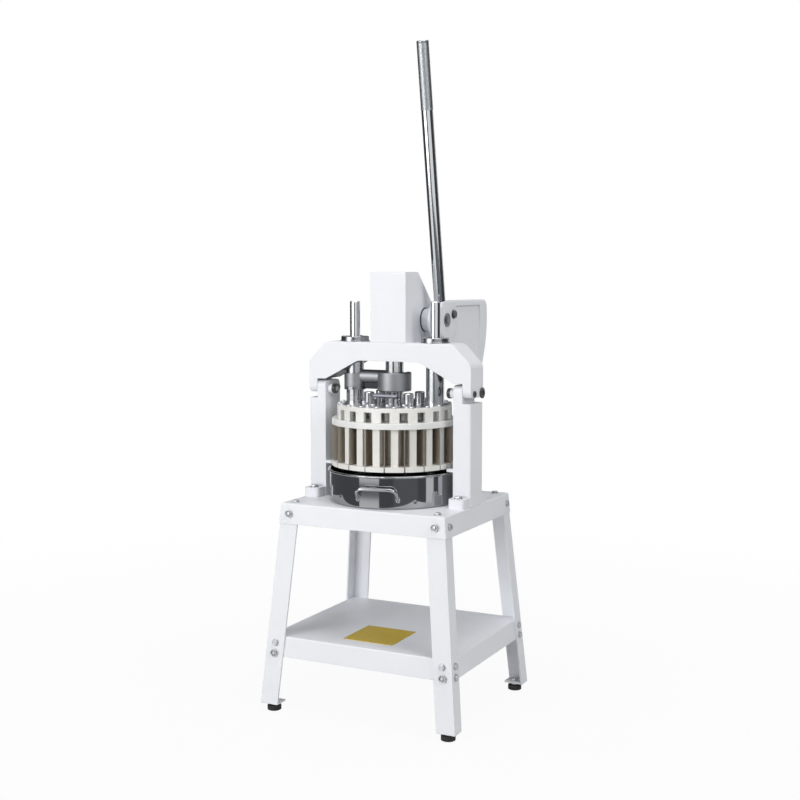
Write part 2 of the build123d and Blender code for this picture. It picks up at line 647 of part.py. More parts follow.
def build_bridge():
    """Arched casting whose cheeks swing on the columns, with its guide bushes."""
    half = COLUMN_OUTER
    shoulder = half - BRIDGE_SHOULDER_INSET
    arch_foot = TONGUE_TOP + ARCH_FOOT_GAP
    right = [
        (shoulder, BRIDGE_TOP), (half, BRIDGE_TOP - BRIDGE_SHOULDER_DROP), (half, CHEEK_BOTTOM),
        (CHEEK_INNER, CHEEK_BOTTOM), (CHEEK_INNER, arch_foot), (COLUMN_INNER, arch_foot),
        (COLUMN_INNER - ARCH_SLOPE, ARCH_TOP),
    ]
    rounds = [BRIDGE_ROUND, BRIDGE_ROUND, 0, 0, SHEET, 2 * BRIDGE_EDGE, ARCH_ROUND]
    points = right + [(-x, z) for x, z in reversed(right)]
    face = profile(points, rounds + rounds[::-1])
    front = Plane(origin=(0, HALF_DEPTH, 0), x_dir=(1, 0, 0), z_dir=(0, -1, 0))
    bridge = extrude(front * face, COLUMN_DEPTH)
    side = profile(
        [(-HALF_DEPTH, CHEEK_BOTTOM), (HALF_DEPTH, CHEEK_BOTTOM),
         (HALF_DEPTH, BRIDGE_TOP), (-HALF_DEPTH, BRIDGE_TOP)],
        [CHEEK_ROUND, CHEEK_ROUND, BRIDGE_EDGE, BRIDGE_EDGE])
    bridge &= extrude(Plane.YZ * side, half, both=True)

    bridge -= crosswise(-2 * half, 2 * half, HINGE_BACK, PIVOT_HEIGHT, HINGE_PIN + 2 * RUNNING_FIT)
    bridge -= crosswise(-2 * half, 2 * half, -CLAMP_FORWARD, PIVOT_HEIGHT, CLAMP_NOTCH)
    bridge -= block(
        (-2 * half, 2 * half), (-CLAMP_FORWARD - CLAMP_NOTCH / 2, -CLAMP_FORWARD + CLAMP_NOTCH / 2),
        (CHEEK_BOTTOM - CHEEK_ROUND, PIVOT_HEIGHT))
    bridge -= upright(0, 0, CHEEK_BOTTOM, BRIDGE_TOP + SHEET, RACK + 2 * BORE_CLEARANCE)
    bridge -= sector_sweep()
    for side_sign in (-1, 1):
        x = side_sign * GUIDE_X
        bridge -= upright(x, 0, CHEEK_BOTTOM, BRIDGE_TOP + SHEET, BUSH_BODY + 2 * SEAT_FIT)
        bridge -= upright(x, 0, CHEEK_BOTTOM, SLEEVE_TOP + STOP_GAP, SLEEVE + 2 * BORE_CLEARANCE)
    spots = housing_screw_spots() + bush_screw_spots(GUIDE_X) + bush_screw_spots(-GUIDE_X)
    for spot in spots:
        bridge -= upright(*spot, BRIDGE_TOP - HEAD_BOLT_GRIP, BRIDGE_TOP + SHEET, SCREW_HOLE)
    save_on_press("bridge", bridge)

    screws = []
    flange_top = BRIDGE_TOP + BUSH_FLANGE_THICK
    for name, side_sign in SIDES:
        x = side_sign * GUIDE_X
        bush = upright(x, 0, BRIDGE_TOP - BUSH_LENGTH, BRIDGE_TOP, BUSH_BODY)
        bush += upright(x, 0, BRIDGE_TOP, BRIDGE_TOP + BUSH_WASHER, BUSH_FLANGE + BUSH_WASHER)
        bush += upright(x, 0, BRIDGE_TOP + BUSH_WASHER, flange_top, BUSH_FLANGE)
        bush -= upright(
            x, 0, CHEEK_BOTTOM, flange_top + SHEET, GUIDE_ROD + 2 * RUNNING_FIT)
        for spot in bush_screw_spots(x):
            bush -= upright(*spot, BRIDGE_TOP - SHEET, flange_top + SHEET, SCREW_HOLE)
            screws.append(Pos(*spot, flange_top) * head_bolt(BUSH_FLANGE_THICK + HEAD_BOLT_GRIP))
        save_on_press(f"guide_bush_{name}", bush)
    save_on_press("bush_screws", *screws)


def housing_outline(inset):
    """Side view of the rack housing, drawn inwards by a wall. It hangs over the bridge's back."""
    front = HOUSING_FRONT + inset
    rear = HOUSING_REAR - inset
    top = HOUSING_TOP - inset
    bottom = HOUSING_BOTTOM + inset
    floor = BRIDGE_TOP + inset
    step = HALF_DEPTH + SIDE_PLAY + inset
    slope = radians(HOUSING_SLOPE)
    top_rear = HOUSING_TOP_REAR - inset * tan(slope / 2)
    rear_top = HOUSING_REAR_TOP - inset * tan(pi / 4 - slope / 2)
    chin = HOUSING_CHIN + inset * tan(pi / 8) - inset
    return [
        (front, floor), (front, top), (top_rear, top), (rear, rear_top),
        (rear, bottom + chin), (rear - chin, bottom), (step, bottom), (step, floor),
    ]


def sector_sweep():
    """The room that the toothed sector needs as it turns."""
    half = SECTOR_WIDTH / 2 + BORE_CLEARANCE
    return crosswise(-half, half, SHAFT_Y, SHAFT_HEIGHT, 2 * (SECTOR_TIP + BORE_CLEARANCE))


def build_housing():
    """Hollow casting on the bridge that holds the rack and the toothed sector."""
    side_view = Plane(origin=(-HOUSING_HALF_WIDTH, 0, 0), x_dir=(0, 1, 0), z_dir=(1, 0, 0))
    outline = profile(housing_outline(0), [0] + [HOUSING_ROUND] * 5 + [0, 0])
    housing = extrude(side_view * outline, 2 * HOUSING_HALF_WIDTH)
    for start, end in ((HOUSING_HALF_WIDTH - SHEET, BOSS_END), (BOSS_START, SHEET - HOUSING_HALF_WIDTH)):
        housing += crosswise(start, end, SHAFT_Y, SHAFT_HEIGHT, BOSS)
    rib = [(HOUSING_HALF_WIDTH - SHEET, SHAFT_HEIGHT), (BOSS_END, SHAFT_HEIGHT - RIB_INSET),
           (HOUSING_HALF_WIDTH - SHEET, HOUSING_BOTTOM + RIB_INSET)]
    rib_plane = Plane(origin=(0, SHAFT_Y + HOUSING_WALL / 2, 0), x_dir=(1, 0, 0), z_dir=(0, -1, 0))
    housing += extrude(rib_plane * make_face(Polyline(rib, close=True)), HOUSING_WALL)

    inner_half = HOUSING_HALF_WIDTH - HOUSING_WALL
    cavity_view = Plane(origin=(-inner_half, 0, 0), x_dir=(0, 1, 0), z_dir=(1, 0, 0))
    cavity = make_face(Polyline(housing_outline(HOUSING_WALL), close=True))
    housing -= extrude(cavity_view * cavity, 2 * inner_half)
    housing -= upright(0, 0, BRIDGE_TOP - SHEET, HOUSING_TOP - HOUSING_WALL, RACK + 2 * BORE_CLEARANCE)
    housing -= sector_sweep() & block(
        (-HOUSING_HALF_WIDTH, HOUSING_HALF_WIDTH), (0, SHAFT_Y),
        (BRIDGE_TOP - HOUSING_WALL, BRIDGE_TOP + 2 * HOUSING_WALL))
    housing -= crosswise(
        BOSS_START - SHEET, BOSS_END + SHEET, SHAFT_Y, SHAFT_HEIGHT, SHAFT_BUSH + 2 * SEAT_FIT)
    for spot in housing_screw_spots():
        housing -= upright(*spot, BRIDGE_TOP - SHEET, BRIDGE_TOP + 2 * HOUSING_WALL, SCREW_HOLE)

    cover_z = (HOUSING_REAR_TOP + HOUSING_REAR_BOTTOM) / 2
    half_width = HOUSING_HALF_WIDTH - COVER_SIDE
    half_height = (HOUSING_REAR_TOP - HOUSING_REAR_BOTTOM) / 2 - COVER_END
    housing -= block(
        (COVER_LAND - half_width, half_width - COVER_LAND),
        (HOUSING_REAR - 2 * HOUSING_WALL, HOUSING_REAR + SHEET),
        (cover_z - half_height + COVER_LAND, cover_z + half_height - COVER_LAND))
    outside = Plane(origin=(0, HOUSING_REAR, cover_z), x_dir=(1, 0, 0), z_dir=(0, 1, 0))
    spots = [
        (x * (half_width - COVER_LAND / 2), z * (half_height - COVER_LAND / 2)) for x, z in CORNERS
    ]
    cover_face = fillet(Rectangle(2 * half_width, 2 * half_height).vertices(), HOUSING_ROUND)
    cover = extrude(outside * cover_face, COVER_THICK)
    cover_screw = head_bolt(COVER_THICK + HOUSING_WALL - SHEET)
    screw_hole = Cylinder(HEAD_BOLT / 2 + SEAT_FIT, 2 * (COVER_THICK + HOUSING_WALL))
    holes = [outside.location * Pos(x, z, 0) * screw_hole for x, z in spots]
    save_on_press("rack_housing", housing - together(holes))
    save_on_press("housing_cover", cover - together(holes))
    save_on_press(
        "cover_screws", *[outside.location * Pos(x, z, COVER_THICK) * cover_screw for x, z in spots])

    housing_screw = head_bolt(HOUSING_WALL + HEAD_BOLT_GRIP - SHEET)
    save_on_press(
        "housing_screws",
        *[Pos(*spot, BRIDGE_TOP + HOUSING_WALL) * housing_screw for spot in housing_screw_spots()])

    guide = block(
        (-RACK_GUIDE_WIDTH / 2, RACK_GUIDE_WIDTH / 2), (HOUSING_FRONT + HOUSING_WALL, -RACK_GUIDE_WRAP),
        (SHAFT_HEIGHT - RACK_GUIDE_HEIGHT / 2, SHAFT_HEIGHT + RACK_GUIDE_HEIGHT / 2))
    guide -= upright(0, 0, SHAFT_HEIGHT - RACK, SHAFT_HEIGHT + RACK, RACK + 2 * RUNNING_FIT)
    save_on_press("rack_guide", guide)

    bushes = []
    for boss_end, wall, direction in ((BOSS_END, inner_half, 1), (-BOSS_START, inner_half, -1)):
        bush = crosswise(wall, boss_end, 0, 0, SHAFT_BUSH)
        bush += crosswise(boss_end, boss_end + SHAFT_BUSH_LIP, 0, 0, SHAFT_BUSH_FLANGE)
        bush -= crosswise(wall - SHEET, boss_end + 2 * SHAFT_BUSH_LIP, 0, 0, SHAFT + 2 * RUNNING_FIT)
        bushes.append(SHAFT_AXIS * (bush if direction > 0 else mirror(bush, Plane.YZ)))
    save_on_press("shaft_bushes", *bushes)


def involute(angle):
    return tan(angle) - angle


def tooth_outline(centre, steps=5):
    """One involute tooth of the sector, its middle line at an angle from the drawing's X axis."""
    tip = SECTOR_TIP
    root = GEAR_RADIUS - DEDENDUM
    base = GEAR_RADIUS * cos(radians(PRESSURE_ANGLE))
    half_at_pitch = pi / (2 * GEAR_TEETH) - BACKLASH / (2 * GEAR_RADIUS)
    half_at_base = half_at_pitch + involute(radians(PRESSURE_ANGLE))
    flank = [(root - SHEET, half_at_base), (base, half_at_base)]
    for step in range(1, steps + 1):
        radius = base + (tip - base) * step / steps
        flank.append((radius, half_at_base - involute(acos(base / radius))))
    left = [(r * cos(centre + a), r * sin(centre + a)) for r, a in flank]
    right = [(r * cos(centre - a), r * sin(centre - a)) for r, a in reversed(flank)]
    return left + right


def build_rack_drive():
    """Rack, toothed sector and the shaft that carries the lever."""
    tooth_step = 2 * pi / GEAR_TEETH
    angles = [(index - SECTOR_LEAD) * tooth_step for index in range(SECTOR_TEETH)]
    drawing = Plane(origin=(SECTOR_WIDTH / 2, SHAFT_Y, SHAFT_HEIGHT), x_dir=(0, -1, 0), z_dir=(-1, 0, 0))
    root = GEAR_RADIUS - DEDENDUM
    spread = (angles[0] - tooth_step / 2, angles[-1] + tooth_step / 2)
    middle = sum(spread) / 2
    rim = ThreePointArc(*[(root * cos(a), root * sin(a)) for a in (spread[0], middle, spread[1])])
    web = make_face([rim, Line(rim @ 1, (0, 0)), Line((0, 0), rim @ 0)])
    sector = web + Circle(SECTOR_HUB / 2)
    for angle in angles:
        sector += make_face(Polyline(tooth_outline(angle), close=True))
    sector -= Circle(SHAFT / 2 + SEAT_FIT)
    save_on_press("toothed_sector", extrude(drawing * sector, SECTOR_WIDTH))

    bar = upright(0, 0, CARRIER_TOP, RACK_TOP, RACK)
    bar = chamfer(bar.edges().group_by(Axis.Z)[-1], ROD_CHAMFER)
    bar += upright(0, 0, SOCKET_FLOOR, CARRIER_TOP, RACK_SPIGOT)
    tip = RACK_PITCH_LINE + ADDENDUM
    flat_low = SHAFT_HEIGHT - RACK_SPARE_TEETH * GEAR_PITCH
    bar -= block((-RACK, RACK), (tip, RACK), (flat_low, RACK_TOP + SHEET))
    slope = tan(radians(PRESSURE_ANGLE))
    beyond = tip + SHEET
    wide = GEAR_PITCH / 4 + (ADDENDUM + SHEET) * slope + BACKLASH / 2
    narrow = GEAR_PITCH / 4 - DEDENDUM * slope + BACKLASH / 2
    bottom = RACK_PITCH_LINE - DEDENDUM
    space = Polyline([(beyond, -wide), (bottom, -narrow), (bottom, narrow), (beyond, wide)], close=True)
    rack_view = Plane(origin=(-RACK, 0, SHAFT_HEIGHT), x_dir=(0, 1, 0), z_dir=(1, 0, 0))
    cutter = extrude(rack_view * make_face(space), 2 * RACK)
    last = ceil(STROKE / GEAR_PITCH) + 1
    steps = range(-RACK_SPARE_TEETH, last)
    spaces = [Pos(0, 0, (step + 0.5) * GEAR_PITCH) * cutter for step in steps]
    save_on_press("rack", bar - together(spaces))

    left_end = BOSS_START - SHAFT_BUSH_LIP - SIDE_PLAY - SHAFT_COLLAR_WIDTH
    shaft = crosswise(left_end, ARM_FACE, SHAFT_Y, SHAFT_HEIGHT, SHAFT)
    save_on_press("lever_shaft", shaft)
    collar = crosswise(left_end, left_end + SHAFT_COLLAR_WIDTH, SHAFT_Y, SHAFT_HEIGHT, SHAFT_COLLAR)
    collar -= crosswise(
        left_end - SHEET, left_end + 2 * SHAFT_COLLAR_WIDTH, SHAFT_Y, SHAFT_HEIGHT, SHAFT + 2 * SEAT_FIT)
    save_on_press("shaft_collar", collar)


def build_lever():
    """Counterweight casting, lever bar, grip and their bolts, drawn about the shaft."""
    seat = Plane(origin=(ARM_X, 0, 0), x_dir=(0, 1, 0), z_dir=(1, 0, 0))
    flat = ARM_HUB_RADIUS
    start = (sqrt(WEIGHT_RADIUS**2 - flat**2), flat)
    drop = radians(-WEIGHT_DROP_ANGLE)
    end = (WEIGHT_RADIUS * cos(drop), WEIGHT_RADIUS * sin(drop))
    tangent = drop - acos(flat / WEIGHT_RADIUS)
    touch = (flat * cos(tangent), flat * sin(tangent))
    rim = ThreePointArc(start, (WEIGHT_RADIUS, 0), end)
    weight = make_face([Line((0, flat), start), rim, Line(end, touch), Line(touch, (0, flat))])
    corners = weight.vertices().filter_by(lambda v: hypot(v.X, v.Y) > WEIGHT_RADIUS - WEIGHT_ROUND)
    weight = fillet(corners, WEIGHT_ROUND) + Circle(flat)
    casting = extrude(seat * weight, ARM_WIDTH)
    rims = [face.outer_wire().edges() for face in casting.faces().filter_by(Axis.X)]
    casting = fillet([edge for rim_edges in rims for edge in rim_edges], WEIGHT_EDGE)
    web = offset(weight, -WEIGHT_BORDER) & Circle(WEIGHT_RADIUS - WEIGHT_RIM)
    web -= Circle(flat + HUB_LAND)
    web = fillet(web.vertices(), WEB_ROUND)
    casting -= Pos(ARM_WIDTH - WEB_RECESS, 0, 0) * extrude(seat * web, ARM_WIDTH)
    casting -= crosswise(ARM_X - SHEET, ARM_FACE + SHEET, 0, 0, SHAFT + 2 * SEAT_FIT)
    bar_axis = Location((ARM_X + ARM_WIDTH / 2, 0, 0), (LEVER_LEAN, 0, 0))
    casting -= bar_axis * upright(0, 0, LEVER_SEAT, LEVER_LENGTH, LEVER_BAR + 2 * SEAT_FIT)
    casting -= crosswise(
        ARM_X - SHEET, ARM_FACE + SHEET, CLAMP_BOLT_REACH, CLAMP_BOLT_RISE, CLAMP_BOLT + 2 * HOLE_CLEARANCE)
    save_on_press("counterweight_arm", SHAFT_AXIS * casting)

    grip_top = LEVER_LENGTH + GRIP_CAP
    shoulder = grip_top - GRIP_LENGTH
    bar = upright(0, 0, LEVER_SEAT, shoulder, LEVER_BAR)
    bar += upright(0, 0, shoulder, LEVER_LENGTH, LEVER_SPIGOT)
    save_on_press("lever_bar", SHAFT_AXIS * bar_axis * bar)
    grip = upright(0, 0, shoulder, grip_top, GRIP)
    grip -= upright(0, 0, shoulder - SHEET, LEVER_LENGTH + SEAT_FIT, LEVER_SPIGOT + 2 * SEAT_FIT)
    grip = chamfer(grip.edges().group_by(Axis.Z)[-1], GRIP_CAP / 2)
    save_on_press("lever_grip", SHAFT_AXIS * bar_axis * grip)

    facing = Plane(origin=(ARM_FACE, CLAMP_BOLT_REACH, CLAMP_BOLT_RISE), z_dir=(1, 0, 0))
    bolt = nutted_bolt(
        CLAMP_BOLT, CLAMP_BOLT_FLATS, COLUMN_BOLT_HEAD, ARM_WIDTH, SHAFT_BUSH_LIP)
    save_on_press("arm_clamp_bolt", SHAFT_AXIS * facing.location * bolt)

    end_face = Plane(origin=(ARM_FACE, 0, 0), z_dir=(1, 0, 0))
    washer = Pos(0, 0, END_WASHER_THICK / 2) * Cylinder(END_WASHER / 2, END_WASHER_THICK)
    washer += hexagon(CLAMP_BOLT_FLATS, END_WASHER_THICK, END_WASHER_THICK + END_SCREW_HEAD)
    save_on_press("shaft_end_screw", SHAFT_AXIS * end_face.location * washer)


def segment_face(inner, outer, count):
    """Plan of one press segment, with room for the knives along both sides."""
    half = pi / count
    apex = PLATE_EDGE / sin(half)
    far = 2 * outer
    wedge = Polygon(
        (apex, 0), (apex + far * cos(half), -far * sin(half)), (apex + far * cos(half), far * sin(half)),
        align=None)
    ring = Circle(outer)
    if inner > 0:
        ring -= Circle(inner)
    return ring & wedge


def knife_section(bottom, top):
    """Upright section of a blade with a bevelled cutting edge."""
    half = KNIFE / 2
    edge = KNIFE_EDGE / 2
    return [
        (-half, top), (-half, bottom + KNIFE_BEVEL), (-edge, bottom), (edge, bottom),
        (half, bottom + KNIFE_BEVEL), (half, top),
    ]


def radial_blade(start, end):
    """A straight blade that runs outwards along X."""
    section = Polyline(knife_section(PLATE_BOTTOM, KNIFE_TOP), close=True)
    plane = Plane(origin=(start, 0, 0), x_dir=(0, 1, 0), z_dir=(1, 0, 0))
    return extrude(plane * make_face(section), end - start)


def ring_blade(radius):
    """A round blade."""
    points = [(radius + x, 0, z) for x, z in knife_section(PLATE_BOTTOM, KNIFE_TOP)]
    return revolve(Face(Wire(Polyline(points, close=True).edges())), Axis.Z)


def build_knives():
    """Carrier disc with the knives under it, and the guides that stand on it."""
    carrier = upright(0, 0, CARRIER_BOTTOM, CARRIER_TOP, 2 * HEAD_RADIUS)
    carrier = fillet(carrier.edges().group_by(Axis.Z)[-1], CARRIER_EDGE)
    middle = (CARRIER_BOTTOM + CARRIER_TOP) / 2
    through = CARRIER_THICK + SHEET
    slot = Pos(OUTER_POST_RADIUS, 0, middle) * Box(
        OUTER_POST_DEPTH + 2 * POST_CLEARANCE, OUTER_POST_WIDTH + 2 * POST_CLEARANCE, through)
    bore = Pos(MIDDLE_POST_RADIUS, 0, middle) * Cylinder(MIDDLE_POST / 2 + POST_CLEARANCE, through)
    inner_bore = Pos(INNER_POST_RADIUS, 0, middle) * Cylinder(INNER_POST / 2 + POST_CLEARANCE, through)
    cuts = around(slot, OUTER_COUNT, OUTER_FIRST) + around(bore, MIDDLE_COUNT, MIDDLE_FIRST)
    cuts += around(inner_bore, INNER_COUNT, INNER_FIRST)
    cuts.append(upright(0, 0, SOCKET_FLOOR, CARRIER_TOP + SHEET, RACK_SPIGOT + 2 * SEAT_FIT))
    for side in (-1, 1):
        cuts.append(upright(side * GUIDE_X, 0, SOCKET_FLOOR, CARRIER_TOP + SHEET, GUIDE_ROD + 2 * SEAT_FIT))

    seat_low = CARRIER_BOTTOM - SHEET
    seat_half = KNIFE / 2 + SEAT_FIT
    for name, start, end, count in BLADE_SPANS:
        blade = radial_blade(start, end)
        save_on_press(name, *around(blade, count, FRONT))
        groove = block((start - SEAT_FIT, end + SEAT_FIT), (-seat_half, seat_half), (seat_low, KNIFE_TOP))
        cuts += around(groove, count, FRONT)
    for name, radius in RING_BLADES:
        save_on_press(name, ring_blade(radius))
        groove = upright(0, 0, seat_low, KNIFE_TOP, 2 * (radius + seat_half))
        cuts.append(groove - upright(0, 0, seat_low, KNIFE_TOP, 2 * (radius - seat_half)))
    save_on_press("knife_carrier", carrier - together(cuts))

    sleeves = []
    for name, side in SIDES:
        x = side * GUIDE_X
        rod = upright(x, 0, SOCKET_FLOOR, GUIDE_ROD_TOP, GUIDE_ROD)
        save_on_press(f"guide_rod_{name}", chamfer(rod.edges().group_by(Axis.Z)[-1], ROD_CHAMFER))
        sleeve = upright(x, 0, CARRIER_TOP, SLEEVE_TOP, SLEEVE)
        bore = upright(x, 0, CARRIER_TOP - SHEET, SLEEVE_TOP + SHEET, GUIDE_ROD + 2 * SEAT_FIT)
        sleeves.append(sleeve - bore)
    save_on_press("guide_sleeves", *sleeves)

    guides = []
    for x, y in PRESS_GUIDE_SPOTS:
        guide = upright(x, y, CARRIER_TOP, STUD_TOP, PRESS_GUIDE)
        guides.append(chamfer(guide.edges().group_by(Axis.Z)[-1], ROD_CHAMFER))
    save_on_press("press_guides", *guides)


def build_press():
    """Segments with their posts, and the ring and plate that tie them together."""
    plate = (0, 0, PLATE_BOTTOM)
    outer = Pos(*plate) * extrude(
        segment_face(OUTER_KNIFE_RADIUS + PLATE_EDGE, HEAD_RADIUS, OUTER_COUNT), PLATE_THICK)
    outer += block(
        (OUTER_POST_RADIUS - OUTER_POST_DEPTH / 2, OUTER_POST_RADIUS + OUTER_POST_DEPTH / 2),
        (-OUTER_POST_WIDTH / 2, OUTER_POST_WIDTH / 2), (PLATE_TOP - SHEET, RING_BOTTOM))
    middle_face = segment_face(
        INNER_KNIFE_RADIUS + PLATE_EDGE, OUTER_KNIFE_RADIUS - PLATE_EDGE, MIDDLE_COUNT)
    middle = Pos(*plate) * extrude(middle_face, PLATE_THICK)
    middle += upright(MIDDLE_POST_RADIUS, 0, PLATE_TOP - SHEET, PRESS_PLATE_BOTTOM, MIDDLE_POST)
    inner_face = segment_face(0, INNER_KNIFE_RADIUS - PLATE_EDGE, INNER_COUNT)
    inner = Pos(*plate) * extrude(inner_face, PLATE_THICK)
    inner += upright(INNER_POST_RADIUS, 0, PLATE_TOP - SHEET, PRESS_PLATE_BOTTOM, INNER_POST)

    ring_bolt = Pos(RING_BOLT_RADIUS, 0, RING_TOP) * head_bolt(RING_HEIGHT + HEAD_BOLT_GRIP)
    plate_bolt = Pos(MIDDLE_POST_RADIUS, 0, RING_TOP) * head_bolt(PRESS_PLATE + HEAD_BOLT_GRIP)
    flush = HEAD_BOLT_HEIGHT - SIDE_PLAY
    flush_screw = upright(INNER_POST_RADIUS, 0, RING_TOP - flush, RING_TOP, HEAD_BOLT_FLATS)
    flush_screw += upright(
        INNER_POST_RADIUS, 0, PRESS_PLATE_BOTTOM - HEAD_BOLT_GRIP, RING_TOP - flush, HEAD_BOLT)
    ring_hole = upright(
        RING_BOLT_RADIUS, 0, RING_BOTTOM - HEAD_BOLT_GRIP, RING_TOP + SHEET, SCREW_HOLE)
    plate_hole = upright(
        MIDDLE_POST_RADIUS, 0, PRESS_PLATE_BOTTOM - HEAD_BOLT_GRIP, RING_TOP + SHEET,
        SCREW_HOLE)
    flush_hole = upright(
        INNER_POST_RADIUS, 0, PRESS_PLATE_BOTTOM - HEAD_BOLT_GRIP, RING_TOP + SHEET,
        SCREW_HOLE)
    flush_hole += upright(
        INNER_POST_RADIUS, 0, RING_TOP - flush, RING_TOP + SHEET, HEAD_BOLT_FLATS + 2 * SEAT_FIT)
    save_on_press("outer_segments", *around(outer - ring_hole, OUTER_COUNT, OUTER_FIRST))
    save_on_press("middle_segments", *around(middle - plate_hole, MIDDLE_COUNT, MIDDLE_FIRST))
    save_on_press("inner_segments", *around(inner - flush_hole, INNER_COUNT, INNER_FIRST))
    save_on_press("ring_bolts", *around(ring_bolt, OUTER_COUNT, OUTER_FIRST))
    save_on_press("press_plate_bolts", *around(plate_bolt, MIDDLE_COUNT, MIDDLE_FIRST))
    save_on_press("inner_screws", *around(flush_screw, INNER_COUNT, INNER_FIRST))

    window_top = RING_BOTTOM + WINDOW_HEIGHT
    ring = upright(0, 0, RING_BOTTOM, RING_TOP, 2 * RING_RADIUS)
    ring = fillet(ring.edges().group_by(Axis.Z)[-1], CARRIER_EDGE)
    ring -= upright(0, 0, RING_BOTTOM - SHEET, window_top, 2 * (RING_RADIUS - RING_WALL))
    ring -= upright(0, 0, RING_BOTTOM, RING_TOP + SHEET, 2 * LEDGE_RADIUS)
    ring -= upright(0, 0, PRESS_PLATE_BOTTOM, RING_TOP + SHEET, 2 * (PRESS_PLATE_RADIUS + SEAT_FIT))
    window = block(
        (LEDGE_RADIUS, RING_RADIUS + SHEET), (-WINDOW_WIDTH / 2, WINDOW_WIDTH / 2),
        (RING_BOTTOM - SHEET, window_top))
    sleeves = [
        upright(side * GUIDE_X, 0, CARRIER_TOP, RING_TOP + SHEET, SLEEVE + 2 * SLEEVE_CLEARANCE)
        for side in (-1, 1)
    ]
    cuts = around(window, OUTER_COUNT, FRONT) + around(ring_hole, OUTER_COUNT, OUTER_FIRST) + sleeves
    save_on_press("press_ring", ring - together(cuts))

    disc = upright(0, 0, PRESS_PLATE_BOTTOM, RING_TOP, 2 * PRESS_PLATE_RADIUS)
    cuts = around(plate_hole, MIDDLE_COUNT, MIDDLE_FIRST) + around(flush_hole, INNER_COUNT, INNER_FIRST)
    cuts += sleeves
    cuts.append(upright(0, 0, CARRIER_TOP, RING_TOP + SHEET, RACK + 2 * SLEEVE_CLEARANCE))
    for x, y in PRESS_GUIDE_SPOTS:
        cuts.append(upright(x, y, CARRIER_TOP, RING_TOP + SHEET, PRESS_GUIDE + 2 * SLEEVE_CLEARANCE))
    save_on_press("press_plate", disc - together(cuts))
    bar_z = RING_TOP + LIFT_BAR_RISE
    half_bar = LIFT_BAR_LENGTH / 2
    bar = crosswise(-half_bar, half_bar, -LIFT_STUD_FORWARD, bar_z, LIFT_BAR)
    bar = fillet(bar.edges().filter_by(GeomType.CIRCLE), LIFT_ROUND)
    studs = []
    for side in (-1, 1):
        x = side * LIFT_STUD_SPREAD / 2
        stud = upright(x, -LIFT_STUD_FORWARD, RING_TOP, STUD_TOP, LIFT_STUD)
        studs.append(fillet(stud.edges().group_by(Axis.Z)[-1], LIFT_ROUND))
        bar -= upright(x, -LIFT_STUD_FORWARD, bar_z - LIFT_BAR, bar_z + LIFT_BAR, LIFT_STUD + 2 * SEAT_FIT)
    save_on_press("lift_studs", *studs, bar)


def build_lock_arm():
    """Arm that swings on the left guide sleeve and lays its fork about the rack."""
    collar_top = ARM_FORK_BOTTOM + ARM_COLLAR
    hub_low = collar_top + RING_GAP
    hub_top = ARM_FORK_TOP - ARM_HUB_DROP
    bar_top = ARM_FORK_TOP + ARM_BAR_RISE
    arm = upright(-GUIDE_X, 0, hub_low, hub_top, ARM_HUB)
    arm += crosswise(-GUIDE_X, 0, 0, bar_top - ARM_BAR / 2, ARM_BAR)
    fork = upright(0, 0, ARM_FORK_BOTTOM, ARM_FORK_TOP, ARM_FORK)
    bevel = sqrt(2) * ARM_FORK_BEVEL
    corner = Pos(-ARM_FORK / 2, 0, ARM_FORK_BOTTOM) * Rot(0, 45, 0)
    arm += fillet(fork.edges(), SHEET) - corner * Box(bevel, ARM_FORK, bevel)
    slot_half = RACK / 2 + SLEEVE_CLEARANCE
    swing = GUIDE_X - sqrt(GUIDE_X**2 - (ARM_FORK / 2) ** 2)
    through = (ARM_FORK_BOTTOM - SHEET, bar_top + SHEET)
    arm -= upright(0, 0, *through, 2 * slot_half)
    arm -= block((-slot_half - swing, slot_half), (0, ARM_FORK), through)
    arm -= upright(-GUIDE_X, 0, *through, SLEEVE + 2 * ARM_BORE_CLEARANCE)
    save_on_press("lock_arm", arm)
    collar = upright(-GUIDE_X, 0, ARM_FORK_BOTTOM, collar_top, ARM_HUB)
    collar -= upright(-GUIDE_X, 0, ARM_FORK_BOTTOM - SHEET, collar_top + SHEET, SLEEVE + 2 * SEAT_FIT)
    save_on_press("arm_collar", collar)


def build_pan():
    """Round pan with two bent rod handles."""
    points = [
        (0, 0), (PAN_OUTER, 0), (PAN_OUTER, PAN_HEIGHT - RIM_HEIGHT), (PAN_RIM, PAN_HEIGHT - RIM_HEIGHT),
        (PAN_RIM, PAN_HEIGHT), (PAN_RADIUS, PAN_HEIGHT), (PAN_RADIUS, PAN_FLOOR), (0, PAN_FLOOR),
    ]
    radii = [0, PAN_CORNER, 0, RIM_WIDTH / 2, RIM_WIDTH / 2, 0, PAN_CORNER - PAN_WALL, 0]
    pan = revolve(Plane.XZ * profile(points, radii), Axis.Z)
    save_on_press("dough_pan", pan)

    half = HANDLE_LENGTH / 2
    reach = PAN_OUTER + HANDLE_STAND_OFF
    root = PAN_OUTER - 2 * HANDLE_STAND_OFF
    path = FilletPolyline(
        [(-half, -root, HANDLE_FOOT), (-half, -reach, HANDLE_TOP),
         (half, -reach, HANDLE_TOP), (half, -root, HANDLE_FOOT)], radius=HANDLE_BEND)
    rod = sweep(Plane(origin=path @ 0, z_dir=path % 0) * Circle(HANDLE_ROD / 2), path=path)
    rod -= upright(0, 0, -SHEET, PAN_HEIGHT, 2 * (PAN_OUTER + SEAT_FIT))
    for name, turn in (("front", HANDLE_ANGLE), ("rear", HANDLE_ANGLE + 180)):
        save_on_press(f"pan_handle_{name}", Rot(0, 0, turn) * rod)


